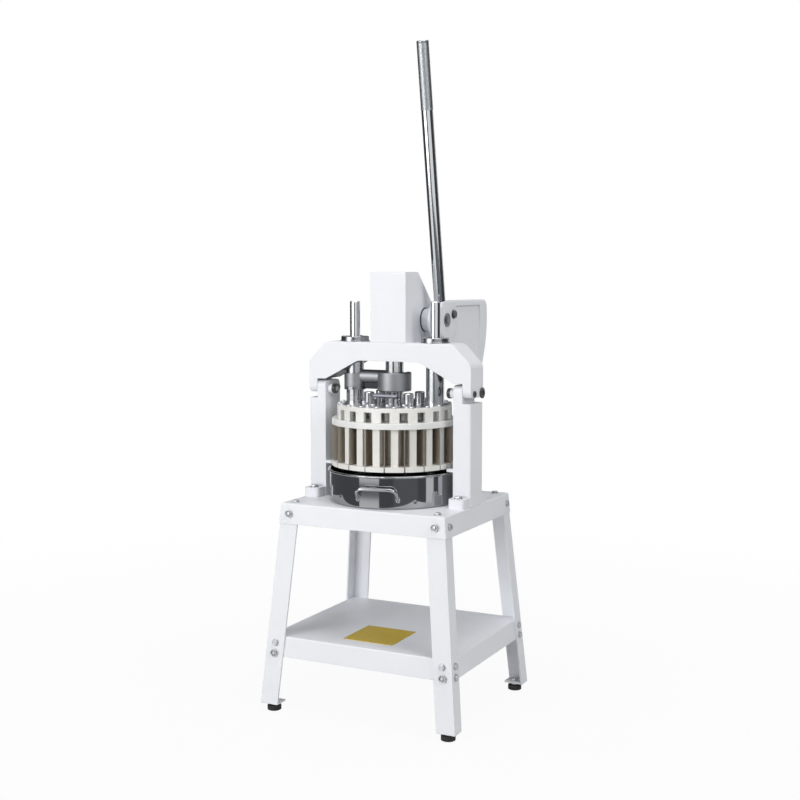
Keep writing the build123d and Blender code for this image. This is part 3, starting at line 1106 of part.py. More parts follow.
os.makedirs("parts", exist_ok=True)
build_stand()
for side_name, side_number in SIDES:
    build_column(f"column_{side_name}", side_number)
build_pivots()
build_bridge()
build_housing()
build_rack_drive()
build_lever()
build_knives()
build_press()
build_lock_arm()
build_pan()
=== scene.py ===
import bpy
import numpy as np
from mathutils import Matrix, Vector


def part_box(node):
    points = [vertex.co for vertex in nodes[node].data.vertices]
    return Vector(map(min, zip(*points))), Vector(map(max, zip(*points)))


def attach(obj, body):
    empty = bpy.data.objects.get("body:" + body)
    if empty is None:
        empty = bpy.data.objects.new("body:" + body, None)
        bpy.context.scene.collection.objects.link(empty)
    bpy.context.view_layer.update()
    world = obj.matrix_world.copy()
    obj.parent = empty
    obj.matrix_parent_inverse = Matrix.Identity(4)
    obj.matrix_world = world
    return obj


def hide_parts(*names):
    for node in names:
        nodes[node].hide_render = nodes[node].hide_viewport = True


# Manual dough divider: a hand press on a splayed steel stand. The sections follow the machine as it
# is put together, from the stand up to the lever and down to the pan. Lengths are in metres.
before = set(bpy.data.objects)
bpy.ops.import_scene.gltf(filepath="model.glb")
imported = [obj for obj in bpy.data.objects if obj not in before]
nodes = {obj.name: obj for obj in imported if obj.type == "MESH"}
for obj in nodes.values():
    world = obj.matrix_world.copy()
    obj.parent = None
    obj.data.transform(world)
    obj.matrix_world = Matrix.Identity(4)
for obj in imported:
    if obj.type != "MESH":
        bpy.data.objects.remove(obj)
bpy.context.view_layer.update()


# Stand: a table top and a shelf folded from sheet steel on four splayed angle legs. They are bolted
# together, and all are stove enamelled in a cool white.
def linear(colour):
    """Linear RGBA of an sRGB hex colour.

    A dark channel c becomes c / 12.92, and any other ((c + 0.055) / 1.055) ** 2.4.
    """
    channels = np.array([int(colour[i:i + 2], 16) for i in (1, 3, 5)]) / 255
    light = np.where(channels <= 0.04045, channels / 12.92, ((channels + 0.055) / 1.055) ** 2.4)
    return (*light.tolist(), 1.0)


def add(owner, kind, inputs, **settings):
    """One shader node of a material or world.

    Each input socket gets a plain value, or a link from another node's output.
    """
    tree = owner.node_tree
    node = tree.nodes.new("ShaderNode" + kind)
    for name, value in settings.items():
        setattr(node, name, value)
    for name, value in inputs.items():
        if isinstance(value, bpy.types.NodeSocket):
            tree.links.new(value, node.inputs[name])
        else:
            node.inputs[name].default_value = value
    return node


def surface(name, **sockets):
    """A named material, its shader with constant sockets set, and the piece's own coordinates."""
    material = bpy.data.materials.new(name)
    material.use_nodes = True
    shader = material.node_tree.nodes["Principled BSDF"]
    for socket, value in sockets.items():
        shader.inputs[socket.replace("_", " ")].default_value = value
    place = add(material, "TexCoord", {}).outputs["Object"]
    return material, shader, place


def shade(material, shader, colour, roughness, normal=None):
    """Join finished patterns to a shader."""
    for socket, value in (("Base Color", colour), ("Roughness", roughness), ("Normal", normal)):
        if value is not None:
            material.node_tree.links.new(value, shader.inputs[socket])


def dress(material, *names):
    """Give CAD nodes a material."""
    for name in names:
        nodes[name].data.materials.clear()
        nodes[name].data.materials.append(material)


# Sockets of a Mix node: its share, the two colours that it goes between, and the colour it gives
SHARE, FIRST, SECOND, MIXED = 0, 6, 7, 2
CLOUD_WIDTH = 0.09
CLOUD_GLOSS = 0.05
# Upright part of a face's normal where painted underside shade begins, and where it is full
PAINTED_SHADE_BEGINS = -0.3
PAINTED_SHADE_FULL = -0.5


def enamel(name, light, dark, roughness, peel_mm, peel_depth_mm, round_mm, below=None):
    """Stove enamel: two near shades in soft clouds, rounded edges, and ripples of orange peel.

    Below is a colour and a height: downward faces over that height take it, as painted shade.
    """
    material, shader, place = surface(name, IOR=1.5, Coat_Weight=0.1, Coat_Roughness=0.2)
    clouds = add(material, "TexNoise", {
        "Vector": place, "Scale": 1 / CLOUD_WIDTH, "Detail": 3.0}).outputs["Fac"]
    tint = add(
        material, "Mix", {SHARE: clouds, FIRST: linear(dark), SECOND: linear(light)},
        data_type="RGBA")
    # Painted shade: downward faces over the given height are mixed toward the dark colour.
    if below:
        painted_shade, lowest = below
        facing = add(material, "SeparateXYZ", {0: add(material, "TexCoord", {}).outputs["Normal"]})
        spot = add(material, "SeparateXYZ", {0: place})
        down = add(material, "MapRange", {
            "Value": facing.outputs["Z"], "From Min": PAINTED_SHADE_BEGINS, "From Max": PAINTED_SHADE_FULL})
        high = add(material, "Math", {0: spot.outputs["Z"], 1: lowest}, operation="GREATER_THAN")
        shade_share = add(
            material, "Math", {0: down.outputs["Result"], 1: high.outputs["Value"]},
            operation="MULTIPLY")
        tint = add(
            material, "Mix",
            {SHARE: shade_share.outputs["Value"], FIRST: tint.outputs[MIXED], SECOND: linear(painted_shade)},
            data_type="RGBA")
    gloss = add(material, "MapRange", {
        "Value": clouds, "To Min": roughness - CLOUD_GLOSS, "To Max": roughness + CLOUD_GLOSS})
    ripple = add(material, "TexNoise", {"Vector": place, "Scale": 1000 / peel_mm, "Detail": 1.0})
    edge = add(material, "Bevel", {"Radius": round_mm / 1000}, samples=4)
    bump = add(material, "Bump", {
        "Height": ripple.outputs["Fac"], "Distance": peel_depth_mm / 1000, "Strength": 0.35,
        "Normal": edge.outputs["Normal"]})
    shade(material, shader, tint.outputs[MIXED], gloss.outputs["Result"], bump.outputs["Normal"])
    return material


# White stove enamel: a hard, fairly glossy skin, so highlights are soft and folds stay crisp.
WHITE_STOVE = dict(
    light="#F0F2F6", dark="#E8EAEF", roughness=0.52, peel_mm=3.0, peel_depth_mm=0.12, round_mm=1.6)
white_enamel = enamel("white_stove_enamel", **WHITE_STOVE)
dress(
    white_enamel, "stand_top", "lower_shelf", "leg_front_left", "leg_front_right", "leg_rear_left",
    "leg_rear_right")


# Feet: round pads of moulded black rubber, with a rounded sole and two ribs about the side. Each is
# pushed on the head of a levelling stud.
def across(axis):
    """Two unit vectors square to an axis and each other, so that first x second points along it."""
    helper = np.eye(3)[np.argmin(np.abs(axis))]
    first = np.cross(axis, helper)
    first /= np.linalg.norm(first)
    return first, np.cross(axis, first)


def turned(rows, base, axis, columns=36):
    """Grid of a turned piece: each row is a height along the axis, a radius and a width of flats.

    A point stands at base + height * axis + radius * (cos t * first + sin t * second). Where a row
    has flats, its radius is at most flats / (2 cos t), with t from the middle of the nearest flat:
    a chamfered hexagon.
    """
    heights, radii, flats = np.array(rows, float).T[:, :, None]
    first, second = across(axis)
    angle = np.linspace(0, 2 * np.pi, columns, endpoint=False)
    nearest = (angle + np.pi / 6) % (np.pi / 3) - np.pi / 6
    hexagon = np.minimum(radii, flats / (2 * np.cos(nearest)))
    radius = np.where(flats > 0, hexagon, radii + 0 * angle)
    round_about = np.cos(angle)[:, None] * first + np.sin(angle)[:, None] * second
    return base + heights[:, :, None] * axis + radius[:, :, None] * round_about


def skin(grid, ring=False):
    """Vertices, four-sided faces and end fans of a grid whose columns close round.

    Faces join each row to the next. The ends are closed by fans to the mean points of the first and
    last rows, or the last row joins the first in a ring. Faces are turned so that the volume comes
    out positive.
    """
    rows, columns = grid.shape[:2]
    corner = np.arange(rows * columns).reshape(rows, columns)
    after = np.roll(corner, -1, axis=1)
    below, above = (corner, np.roll(corner, -1, axis=0)) if ring else (corner[:-1], corner[1:])
    below_after, above_after = np.roll(below, -1, axis=1), np.roll(above, -1, axis=1)
    quads = np.stack([below, below_after, above_after, above], axis=-1).reshape(-1, 4)
    vertices = grid.reshape(-1, 3)
    fans = np.empty((0, 3), int)
    if not ring:
        low = np.stack([after[0], corner[0], np.full(columns, rows * columns)], axis=-1)
        high = np.stack([corner[-1], after[-1], np.full(columns, rows * columns + 1)], axis=-1)
        fans = np.concatenate([low, high])
        vertices = np.concatenate([vertices, [grid[0].mean(axis=0), grid[-1].mean(axis=0)]])
    sides = np.concatenate([quads[:, [0, 1, 2]], quads[:, [0, 2, 3]], fans])
    one, two, three = (vertices - vertices.mean(axis=0))[sides].transpose(1, 0, 2)
    if np.einsum("ij,ij->", one, np.cross(two, three)) < 0:
        quads, fans = quads[:, ::-1], fans[:, ::-1]
    return vertices, quads, fans


def make_piece(name, skins, material, body, replaced=(), crease=40):
    """One object from closed skins. It rides on a body, and may stand for CAD nodes.

    Edges that bend by more degrees than the crease stay sharp.
    """
    starts = np.cumsum([0] + [len(vertices) for vertices, _, _ in skins])
    quads = np.concatenate([part[1] + start for part, start in zip(skins, starts)])
    fans = np.concatenate([part[2] + start for part, start in zip(skins, starts)])
    points = np.concatenate([part[0] for part in skins])
    mesh = bpy.data.meshes.new(name)
    mesh.from_pydata(points, [], quads.tolist() + fans.tolist())
    mesh.polygons.foreach_set("use_smooth", np.ones(len(mesh.polygons), dtype=bool))
    mesh.set_sharp_from_angle(angle=np.radians(crease))
    mesh.materials.append(material)
    piece = bpy.data.objects.new(name, mesh)
    bpy.context.scene.collection.objects.link(piece)
    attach(piece, body)
    if replaced:
        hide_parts(*replaced)


# Points that agree to a hundredth of a millimetre are one point
DECIMALS = 5


def solids(name):
    """Points of each separate solid of a CAD node.

    Equal points are joined, then triangles hand their lowest label to their corners until none
    changes.
    """
    mesh = nodes[name].data
    points = np.empty(len(mesh.vertices) * 3)
    mesh.vertices.foreach_get("co", points)
    rounded = np.round(points.reshape(-1, 3), DECIMALS)
    unique, same = np.unique(rounded, axis=0, return_inverse=True)
    corners = np.empty(len(mesh.loops), dtype=int)
    mesh.loops.foreach_get("vertex_index", corners)
    triangles = same.reshape(-1)[corners].reshape(-1, 3)
    label = np.arange(len(unique))
    settled = False
    while not settled:
        lowest = label.copy()
        np.minimum.at(lowest, triangles.reshape(-1), np.repeat(label[triangles].min(axis=1), 3))
        lowest = lowest[lowest]
        settled = np.array_equal(lowest, label)
        label = lowest
    return [unique[label == value] for value in np.unique(label)]


# Moulded black rubber: dull, with a faint grey bloom in clouds and a fine moulded grain.
BLOOM_WIDTH = 0.012
MOULD_GRAIN = 0.0008
MOULD_DEPTH = 0.0001
rubber, rubber_shader, rubber_place = surface("moulded_black_rubber", IOR=1.52)
bloom = add(rubber, "TexNoise", {
    "Vector": rubber_place, "Scale": 1 / BLOOM_WIDTH, "Detail": 4.0}).outputs["Fac"]
rubber_tint = add(
    rubber, "Mix", {SHARE: bloom, FIRST: linear("#161617"), SECOND: linear("#2A2A2B")},
    data_type="RGBA")
rubber_dull = add(rubber, "MapRange", {"Value": bloom, "To Min": 0.6, "To Max": 0.8})
grain = add(rubber, "TexNoise", {"Vector": rubber_place, "Scale": 1 / MOULD_GRAIN})
rubber_bump = add(rubber, "Bump", {
    "Height": grain.outputs["Fac"], "Distance": MOULD_DEPTH, "Strength": 0.4})
shade(
    rubber, rubber_shader, rubber_tint.outputs[MIXED], rubber_dull.outputs["Result"],
    rubber_bump.outputs["Normal"])

UP = np.array((0.0, 0.0, 1.0))
PAD_COLUMNS = 48
# Height and radius of the pad, each as a share of the whole
PAD_PROFILE = np.array([
    (0, 0.5), (0, 0.9), (0.08, 1), (0.3, 1), (0.34, 0.95), (0.4, 0.95), (0.44, 1), (0.58, 1),
    (0.62, 0.95), (0.68, 0.95), (0.72, 1), (0.86, 1), (0.96, 0.94), (1, 0.86), (1, 0.42),
    (0.9, 0.4)])
pads = []
for pad in solids("feet"):
    low, high = pad.min(axis=0), pad.max(axis=0)
    sole = np.array((*(low + high)[:2] / 2, low[2]))
    rows = PAD_PROFILE * (high[2] - low[2], (high[0] - low[0]) / 2)
    pads.append(skin(turned(np.insert(rows, 2, 0, axis=1), sole, UP, PAD_COLUMNS)))
make_piece("rubber_feet", pads, rubber, "base", ["feet"])


# Bolts and levelling studs of the stand: rolled steel, zinc plated, with pressed hexagon heads over
# plain washers. Each CAD solid gives its bolt's place, direction, lengths and width.
EDGE_ROUND = 0.0008
# Range that a noise pattern seldom leaves
NOISE_LOW = 0.3
NOISE_HIGH = 0.7


def metal(name, light, dark, roughness, vary, grain_mm, stretch=(1, 1, 1), bump_mm=0.0):
    """Bare or plated metal: two near shades and a roughness that varies, in grain of a given width.

    Stretch squeezes the pattern along an axis, so that it turns into the lines that a tool leaves.
    """
    material, shader, place = surface(name, Metallic=1.0)
    lay = add(material, "Mapping", {"Vector": place, "Scale": stretch})
    marks = add(material, "TexNoise", {
        "Vector": lay.outputs["Vector"], "Scale": 1000 / grain_mm, "Detail": 4.0}).outputs["Fac"]
    tint = add(
        material, "Mix", {SHARE: marks, FIRST: linear(dark), SECOND: linear(light)},
        data_type="RGBA")
    gloss = add(material, "MapRange", {
        "Value": marks, "From Min": NOISE_LOW, "From Max": NOISE_HIGH,
        "To Min": roughness + vary, "To Max": roughness - vary})
    edge = add(material, "Bevel", {"Radius": EDGE_ROUND}, samples=4)
    bump = add(material, "Bump", {
        "Height": marks, "Distance": bump_mm / 1000, "Strength": 0.3,
        "Normal": edge.outputs["Normal"]})
    shade(material, shader, tint.outputs[MIXED], gloss.outputs["Result"], bump.outputs["Normal"])
    return material


def levels_of(solid, axis):
    """Heights of a turned solid along its axis, the largest radius at each, and its axis's foot."""
    height = solid @ axis
    sideways = np.stack(across(axis))
    flat = solid @ sideways.T
    centre = (flat.min(axis=0) + flat.max(axis=0)) / 2
    reach = np.linalg.norm(flat - centre, axis=1)
    heights, which = np.unique(np.round(height, DECIMALS), return_inverse=True)
    radii = np.zeros(len(heights))
    np.maximum.at(radii, which.reshape(-1), reach)
    return heights, radii, centre @ sideways


def long_axis(solid):
    """Direction of a solid's longest spread, pointing to its wider end."""
    axis = np.linalg.svd(solid - solid.mean(axis=0), full_matrices=False)[2][0]
    radii = levels_of(solid, axis)[1]
    return axis if radii[-1] > radii[0] else -axis


THREAD_PITCH = 0.00125
WASHER = 0.0014
TOUCH = 1e-5
# A level that is wider than the shank by this factor belongs to a head, nut or flange
WIDER = 1.2
BOLT_CREASE = 28


def thread(low, high, radius):
    """Rows of a screw thread: a ridge and a groove to each pitch, the groove a third of it deep."""
    heights = np.arange(low + THREAD_PITCH / 2, high - THREAD_PITCH / 4, THREAD_PITCH / 2)
    depths = THREAD_PITCH / 3 * (np.arange(len(heights)) % 2)
    return np.stack([heights, radius - depths, 0 * heights], axis=1).tolist()


def nut(low, high, flats, radius):
    """Rows of a hexagon nut whose corners are turned off at both ends."""
    rim = 0.12 * (high - low)
    face = 0.46 * flats
    return [
        (low, radius, 0), (low, face, flats), (low + rim, flats, flats), (high - rim, flats, flats),
        (high, face, flats), (high, radius, 0)]


def hex_bolt(solid, axis):
    """A bolt: threaded tail, nut where the solid has one, shank, washer, and a dished hex head."""
    heights, radii, foot = levels_of(solid, axis)
    corner, shank = radii[-1], radii[0]
    flats = 2 * corner * np.cos(np.pi / 6)
    tail, seat, top = heights[0], heights[-2], heights[-1]
    nuts = heights[(radii > WIDER * shank) & (heights < seat - TOUCH)]
    rows = [(tail, 0.75 * shank, 0)]
    if len(nuts):
        rows += thread(tail, nuts[0], shank) + nut(nuts[0], nuts[-1], flats, shank)
    else:
        rows += thread(tail, 0.6 * tail + 0.4 * seat, shank)
    base = seat + WASHER
    washer = 1.12 * corner
    rim = 0.22 * (top - base)
    rows += [
        (seat, shank, 0), (seat, washer, 0), (base - WASHER / 5, washer, 0),
        (base, 1.08 * corner, 0), (base, 0.47 * flats, flats), (base + rim / 2, flats, flats),
        (top - rim, flats, flats), (top - rim / 3, 0.5 * flats, flats), (top, 0.44 * flats, flats),
        (top, 0.36 * flats, 0), (top - rim / 3, 0.33 * flats, 0)]
    return skin(turned(rows, foot, axis))


def bolt_set(name, node, body, material, axis=None):
    """All the bolts of one CAD node."""
    bolts = [
        hex_bolt(solid, long_axis(solid) if axis is None else axis) for solid in solids(node)]
    make_piece(name, bolts, material, body, [node], BOLT_CREASE)


# Zinc plate on rolled steel: pale grey and half dull, with cloudy spangles about a millimetre wide.
zinc = metal("zinc_plated_steel", "#D0D2D5", "#A9ACB0", roughness=0.42, vary=0.08, grain_mm=1.5)
bolt_set("stand_bolt_set", "stand_bolts", "base", zinc)
bolt_set("table_top_bolt_set", "table_top_bolts", "base", zinc, UP)

studs = []
for stud in solids("foot_studs"):
    heights, radii, foot = levels_of(stud, UP)
    plain = radii.min()
    wide = heights[radii > WIDER * plain]
    width = 2 * radii.max() * np.cos(np.pi / 6)
    rows = [(heights[0], plain, 0)] + nut(wide[0], wide[1], width, plain)
    rows += thread(wide[1], wide[2], plain) + nut(wide[2], wide[3], width, plain)
    rows += thread(wide[3], heights[-1], plain) + [(heights[-1], 0.8 * plain, 0)]
    studs.append(skin(turned(rows, foot, UP)))
make_piece("levelling_stud_set", studs, zinc, "base", ["foot_studs"], BOLT_CREASE)


# Plate on the shelf: thin sheet steel with rounded corners, in a dull gold lacquer. It is bare, and
# four domed rivets hold it.
def rounded_plate(low, high, corner, heights, insets, columns=64):
    """Grid of a flat plate: a rectangle with round corners, drawn in by each row's inset.

    The outline turns with an angle: each point is its corner's centre plus the corner's radius that
    way.
    """
    angle = np.linspace(0, 2 * np.pi, columns, endpoint=False) + np.pi / columns
    swing = np.stack([np.cos(angle), np.sin(angle)], axis=1)
    outline = (low + high) / 2 + np.sign(swing) * ((high - low) / 2 - corner)
    flat = outline + swing * (corner - insets)[:, None, None]
    lift = np.broadcast_to(heights[:, None, None], (*flat.shape[:2], 1))
    return np.concatenate([flat, lift], axis=2)


PLATE_LOW = np.array((-0.062, -0.158))
PLATE_HIGH = np.array((0.066, -0.032))
PLATE_THICK = 0.0012
PLATE_CORNER = 0.004
# Height of each row as a share of the thickness, and its inset
PLATE_ROWS = np.array([(0, 0), (0.7, 0), (1, 0.0004), (1, 0.003)])
RIVET_INSET = 0.007
RIVET_HEIGHT = 0.0014
RIVET_RADIUS = 0.0028
RIVET_COLUMNS = 20
shelf_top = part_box("lower_shelf")[1].z

# Gold lacquer on sheet: dull ochre with a fine mottle, and grain about four millimetres across.
LACQUER_GRAIN = 0.004
LACQUER_DEPTH = 0.0006
FLECK_WIDTH = 0.006
gold, gold_shader, gold_place = surface("dull_gold_lacquer", Metallic=0.15, IOR=1.5)
hammer = add(gold, "TexVoronoi", {"Vector": gold_place, "Scale": 1 / LACQUER_GRAIN})
fleck = add(gold, "TexNoise", {
    "Vector": gold_place, "Scale": 1 / FLECK_WIDTH, "Detail": 5.0}).outputs["Fac"]
gold_tint = add(
    gold, "Mix", {SHARE: fleck, FIRST: linear("#C4A42A"), SECOND: linear("#E0C658")},
    data_type="RGBA")
gold_dull = add(gold, "MapRange", {"Value": fleck, "To Min": 0.4, "To Max": 0.65})
gold_bump = add(gold, "Bump", {
    "Height": hammer.outputs["Distance"], "Distance": LACQUER_DEPTH, "Strength": 0.5})
shade(
    gold, gold_shader, gold_tint.outputs[MIXED], gold_dull.outputs["Result"],
    gold_bump.outputs["Normal"])
lifts = shelf_top + PLATE_THICK * PLATE_ROWS[:, 0]
sheet = rounded_plate(PLATE_LOW, PLATE_HIGH, PLATE_CORNER, lifts, PLATE_ROWS[:, 1])
make_piece("shelf_plate", [skin(sheet)], gold, "base")

dome = np.linspace(0, np.pi / 2, 6)
rivet = np.stack(
    [RIVET_HEIGHT * np.sin(dome), RIVET_RADIUS * np.cos(dome) + TOUCH, 0 * dome], axis=1)
spots = [
    np.array((x, y, shelf_top + PLATE_THICK))
    for x in (PLATE_LOW[0] + RIVET_INSET, PLATE_HIGH[0] - RIVET_INSET)
    for y in (PLATE_LOW[1] + RIVET_INSET, PLATE_HIGH[1] - RIVET_INSET)]
rivets = [skin(turned(rivet, spot, UP, RIVET_COLUMNS)) for spot in spots]
make_piece("shelf_plate_rivets", rivets, zinc, "base")


# Columns: two castings bolted through the table, in the stand's enamel. The bridge swings on a
# socket headed pin at the rear of each and is held down by a stud and knob at the front.
RIGHT = np.array((1.0, 0.0, 0.0))
PIN_COLUMNS = 48
PIN_RISE = 0.6
dress(white_enamel, "column_left", "column_right")
bolt_set("column_bolt_set", "column_bolts", "base", zinc, UP)


def socket_pin(solid, axis, rise):
    """A pin with a low turned head: chamfered tail, shank, rounded head and a sunk hexagon socket.

    The head keeps a share, the rise, of its CAD solid's height.
    """
    heights, radii, foot = levels_of(solid, axis)
    shank, head = radii[0], radii.max()
    seat = heights[radii > WIDER * shank][0]
    top = seat + rise * (heights[-1] - seat)
    lip = 0.25 * (top - seat)
    flats = 0.9 * head
    sunk = top - 0.7 * (top - seat)
    rows = [
        (heights[0], 0.8 * shank, 0), (heights[0] + 0.2 * shank, shank, 0), (seat, shank, 0),
        (seat, head - lip / 3, 0), (seat + lip / 3, head, 0), (top - lip, head, 0),
        (top - lip / 3, head - lip / 3, 0), (top, head - lip, 0), (top, 0.6 * flats, 0),
        (top - lip / 3, flats, flats), (sunk, flats, flats), (sunk, 0.2 * flats, 0)]
    return skin(turned(rows, foot, axis, PIN_COLUMNS))


# Black oxide on steel: nearly black and oily, with a slight sheen.
black_oxide = metal(
    "black_oxide_steel", "#6E6F72", "#494A4D", roughness=0.32, vary=0.08, grain_mm=1.0)
for name, node in (("hinge_pin_set", "hinge_pins"), ("clamp_stud_set", "clamp_studs")):
    pins = [
        socket_pin(solid, np.sign(solid[:, 0].mean()) * RIGHT, PIN_RISE) for solid in solids(node)]
    make_piece(name, pins, black_oxide, "base", [node], BOLT_CREASE)


# Clamp knobs: moulded black phenolic with a grooved rim and a plated steel insert, screwed on the
# studs under the bridge. Phenolic takes a soft polish, with faint swirls of the filler.
SWIRL_WIDTH = 0.006
phenolic, phenolic_shader, phenolic_place = surface("black_phenolic", IOR=1.6)
swirl = add(phenolic, "TexNoise", {
    "Vector": phenolic_place, "Scale": 1 / SWIRL_WIDTH, "Detail": 3.0,
    "Distortion": 1.0}).outputs["Fac"]
phenolic_tint = add(
    phenolic, "Mix", {SHARE: swirl, FIRST: linear("#131314"), SECOND: linear("#242425")},
    data_type="RGBA")
phenolic_gloss = add(phenolic, "MapRange", {"Value": swirl, "To Min": 0.22, "To Max": 0.42})
shade(
    phenolic, phenolic_shader, phenolic_tint.outputs[MIXED], phenolic_gloss.outputs["Result"])
dress(phenolic, "clamp_knob_left", "clamp_knob_right")
# Height of each row past the knob's face, radius as a share of the knob's, and no flats
INSERT = np.array([
    (-0.002, 0.5, 0), (0.0004, 0.5, 0), (0.0009, 0.46, 0), (0.0012, 0.3, 0), (0.0004, 0.24, 0)])
for side in ("left", "right"):
    knob = np.concatenate(solids(f"clamp_knob_{side}"))
    inward = -np.sign(knob[:, 0].mean()) * RIGHT
    heights, radii, foot = levels_of(knob, inward)
    rows = INSERT * (1, radii.max(), 1) + (heights[-1], 0, 0)
    insert = skin(turned(rows, foot, inward))
    make_piece(
        f"knob_insert_{side}", [insert], zinc, f"knob_{side}", crease=BOLT_CREASE)


# Bridge and rack housing: an arched casting over the head and a hollow casting on top of it, closed
# at the back by a plate with four bolts. Both are in the stand's enamel.
REARWARD = np.array((0.0, 1.0, 0.0))
ARCH_FOOT = 0.765
dress(white_enamel, "rack_housing", "housing_cover")
# White enamel with painted shade: faces over the arch's foot that look down are darkened.
shade_painted_enamel = enamel("stove_enamel_painted_shade", **WHITE_STOVE, below=("#2A2C2F", ARCH_FOOT))
dress(shade_painted_enamel, "bridge")
bolt_set("cover_bolt_set", "cover_screws", "bridge", zinc, REARWARD)
dress(zinc, "housing_screws")


# Guide bushes: turned steel flanges pressed into the bridge, each held by three low socket screws,
# with the rings of the lathe on their faces. The rings are drawn two millimetres apart so that they
# show.
RING_PITCH = 0.002
RING_DEPTH = 0.00015
RING_MARGIN = 0.0015
TAIL_CHAMFER = 0.0005
RIM_CHAMFER = 0.0004
FACE_CHAMFER = 0.001
BORE_CHAMFER = 0.0008
ROUND_COLUMNS = 72
BUSH_CREASE = 30
SCREW_RISE = 0.3
turned_steel = metal(
    "turned_steel", "#B4B6B9", "#84878B", roughness=0.24, vary=0.06, grain_mm=0.8,
    stretch=(1, 1, 6))
for side in ("left", "right"):
    bush = solids(f"guide_bush_{side}")[0]
    heights, radii, foot = levels_of(bush, UP)
    body, rim, flange = radii[0], radii.max(), radii[-1]
    bore = np.linalg.norm(bush[:, :2] - foot[:2], axis=1).min()
    bottom, top = heights[0], heights[-1]
    seat, step = heights[radii > WIDER * body][:2]
    rings = np.arange(flange - RING_MARGIN, bore + RING_MARGIN, -RING_PITCH / 2)
    face = np.stack([top - RING_DEPTH * (np.arange(len(rings)) % 2), rings, 0 * rings], axis=1)
    rows = [
        (bottom, bore, 0), (bottom, body - TAIL_CHAMFER, 0), (bottom + TAIL_CHAMFER, body, 0),
        (seat, body, 0), (seat, rim, 0), (step - RIM_CHAMFER, rim, 0), (step, rim - RIM_CHAMFER, 0),
        (step, flange, 0), (top - FACE_CHAMFER, flange, 0), (top, flange - FACE_CHAMFER, 0),
        *face.tolist(), (top, bore + BORE_CHAMFER, 0), (top - BORE_CHAMFER, bore, 0)]
    flanges = [skin(turned(rows, foot, UP, ROUND_COLUMNS), ring=True)]
    make_piece(
        f"turned_bush_{side}", flanges, turned_steel, "bridge",
        [f"guide_bush_{side}"], BUSH_CREASE)
screws = [socket_pin(solid, UP, SCREW_RISE) for solid in solids("bush_screws")]
make_piece("bush_screw_set", screws, turned_steel, "bridge", ["bush_screws"], BOLT_CREASE)


# Rack drive: a round steel rack and a toothed sector on the lever shaft, which runs in bronze
# bushes. The rack and shaft are ground and polished, with faint marks of the belt along them.
polished_steel = metal(
    "polished_steel", "#DDDFE1", "#BFC2C5", roughness=0.10, vary=0.04, grain_mm=0.6,
    stretch=(6, 6, 0.2))
dress(polished_steel, "rack", "lever_shaft")
dress(turned_steel, "toothed_sector", "shaft_collar")
# Bearing bronze: worn smooth and a little brown.
bronze = metal("bearing_bronze", "#B08D57", "#86683A", roughness=0.35, vary=0.08, grain_mm=1.2)
dress(bronze, "shaft_bushes", "rack_guide")
# A black rubber ring at each shaft boss's root on the housing's sides: a seal, and painted shade
# for the shadow gap there. Rows: a height along the shaft, a radius past the boss, and no flats.
BOSS_RADIUS = 0.027
HOUSING_HALF = 0.046
BOSS_RING_PROFILE = np.array([
    (0, 0, 0), (0, 0.0022, 0), (0.0012, 0.0022, 0), (0.002, 0.0014, 0), (0.002, 0, 0)])
shaft_low, shaft_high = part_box("lever_shaft")
shaft_middle = np.array((shaft_low + shaft_high) / 2)
boss_shade_rings = []
# Painted shade: the rings' black stands partly for the shadow gap at each boss's root.
for side in (-1, 1):
    root = shaft_middle * (0, 1, 1) + (side * HOUSING_HALF, 0, 0)
    rows = BOSS_RING_PROFILE + (0, BOSS_RADIUS, 0)
    boss_shade_rings.append(skin(turned(rows, root, side * RIGHT, ROUND_COLUMNS), ring=True))
make_piece("boss_rings_painted_shade", boss_shade_rings, rubber, "bridge")


# Counterweight: an iron casting with a sunk web, in grey hammer enamel. It sits on the shaft's end
# under a screw and washer, and one bolt clamps the lever bar in its hub.
grey_enamel = enamel(
    "grey_hammer_enamel", "#EEF1F5", "#E4E7EC", roughness=0.52, peel_mm=3.5, peel_depth_mm=0.2,
    round_mm=5.0)
dress(grey_enamel, "counterweight_arm")
# Black oxide rubbed by spanners: a lighter grey, with the steel showing through.
worn_oxide = metal(
    "worn_black_oxide_steel", "#9C9EA3", "#6E7075", roughness=0.34, vary=0.08, grain_mm=1.0)
dress(worn_oxide, "shaft_end_screw")
bolt_set("arm_clamp_bolt_set", "arm_clamp_bolt", "lever", black_oxide, RIGHT)


# Lever: a long polished steel bar with a steel sleeve over its end, rolled with a fine diamond
# knurl and closed by a cap.
KNURL_PITCH = 0.0026
KNURL_DEPTH = 0.0005
KNURL_STEPS = 4
COLLAR_LOW = 0.003
COLLAR_HIGH = 0.006
# Plain ends of the sleeve: distance from its end, and radius as a share of the whole
LOW_END = np.array([(0, 0.88), (0, 0.96), (0.001, 1), (0.0025, 1)])
HIGH_END = np.array([(0.0055, 1), (0.0015, 1), (0, 0.9), (0, 0.5)])
dress(polished_steel, "lever_bar")


def knurl(heights, columns, starts, radius):
    """Radius over height and angle.

    The diamonds are the lower of two crossed sets of helical ridges.
    """
    angle = np.linspace(0, 2 * np.pi, columns, endpoint=False)
    climb = 2 * np.pi * heights[:, None] / KNURL_PITCH
    ridges = np.minimum(np.cos(starts * angle + climb), np.cos(starts * angle - climb))
    return radius - KNURL_DEPTH * (0.5 - 0.5 * ridges)


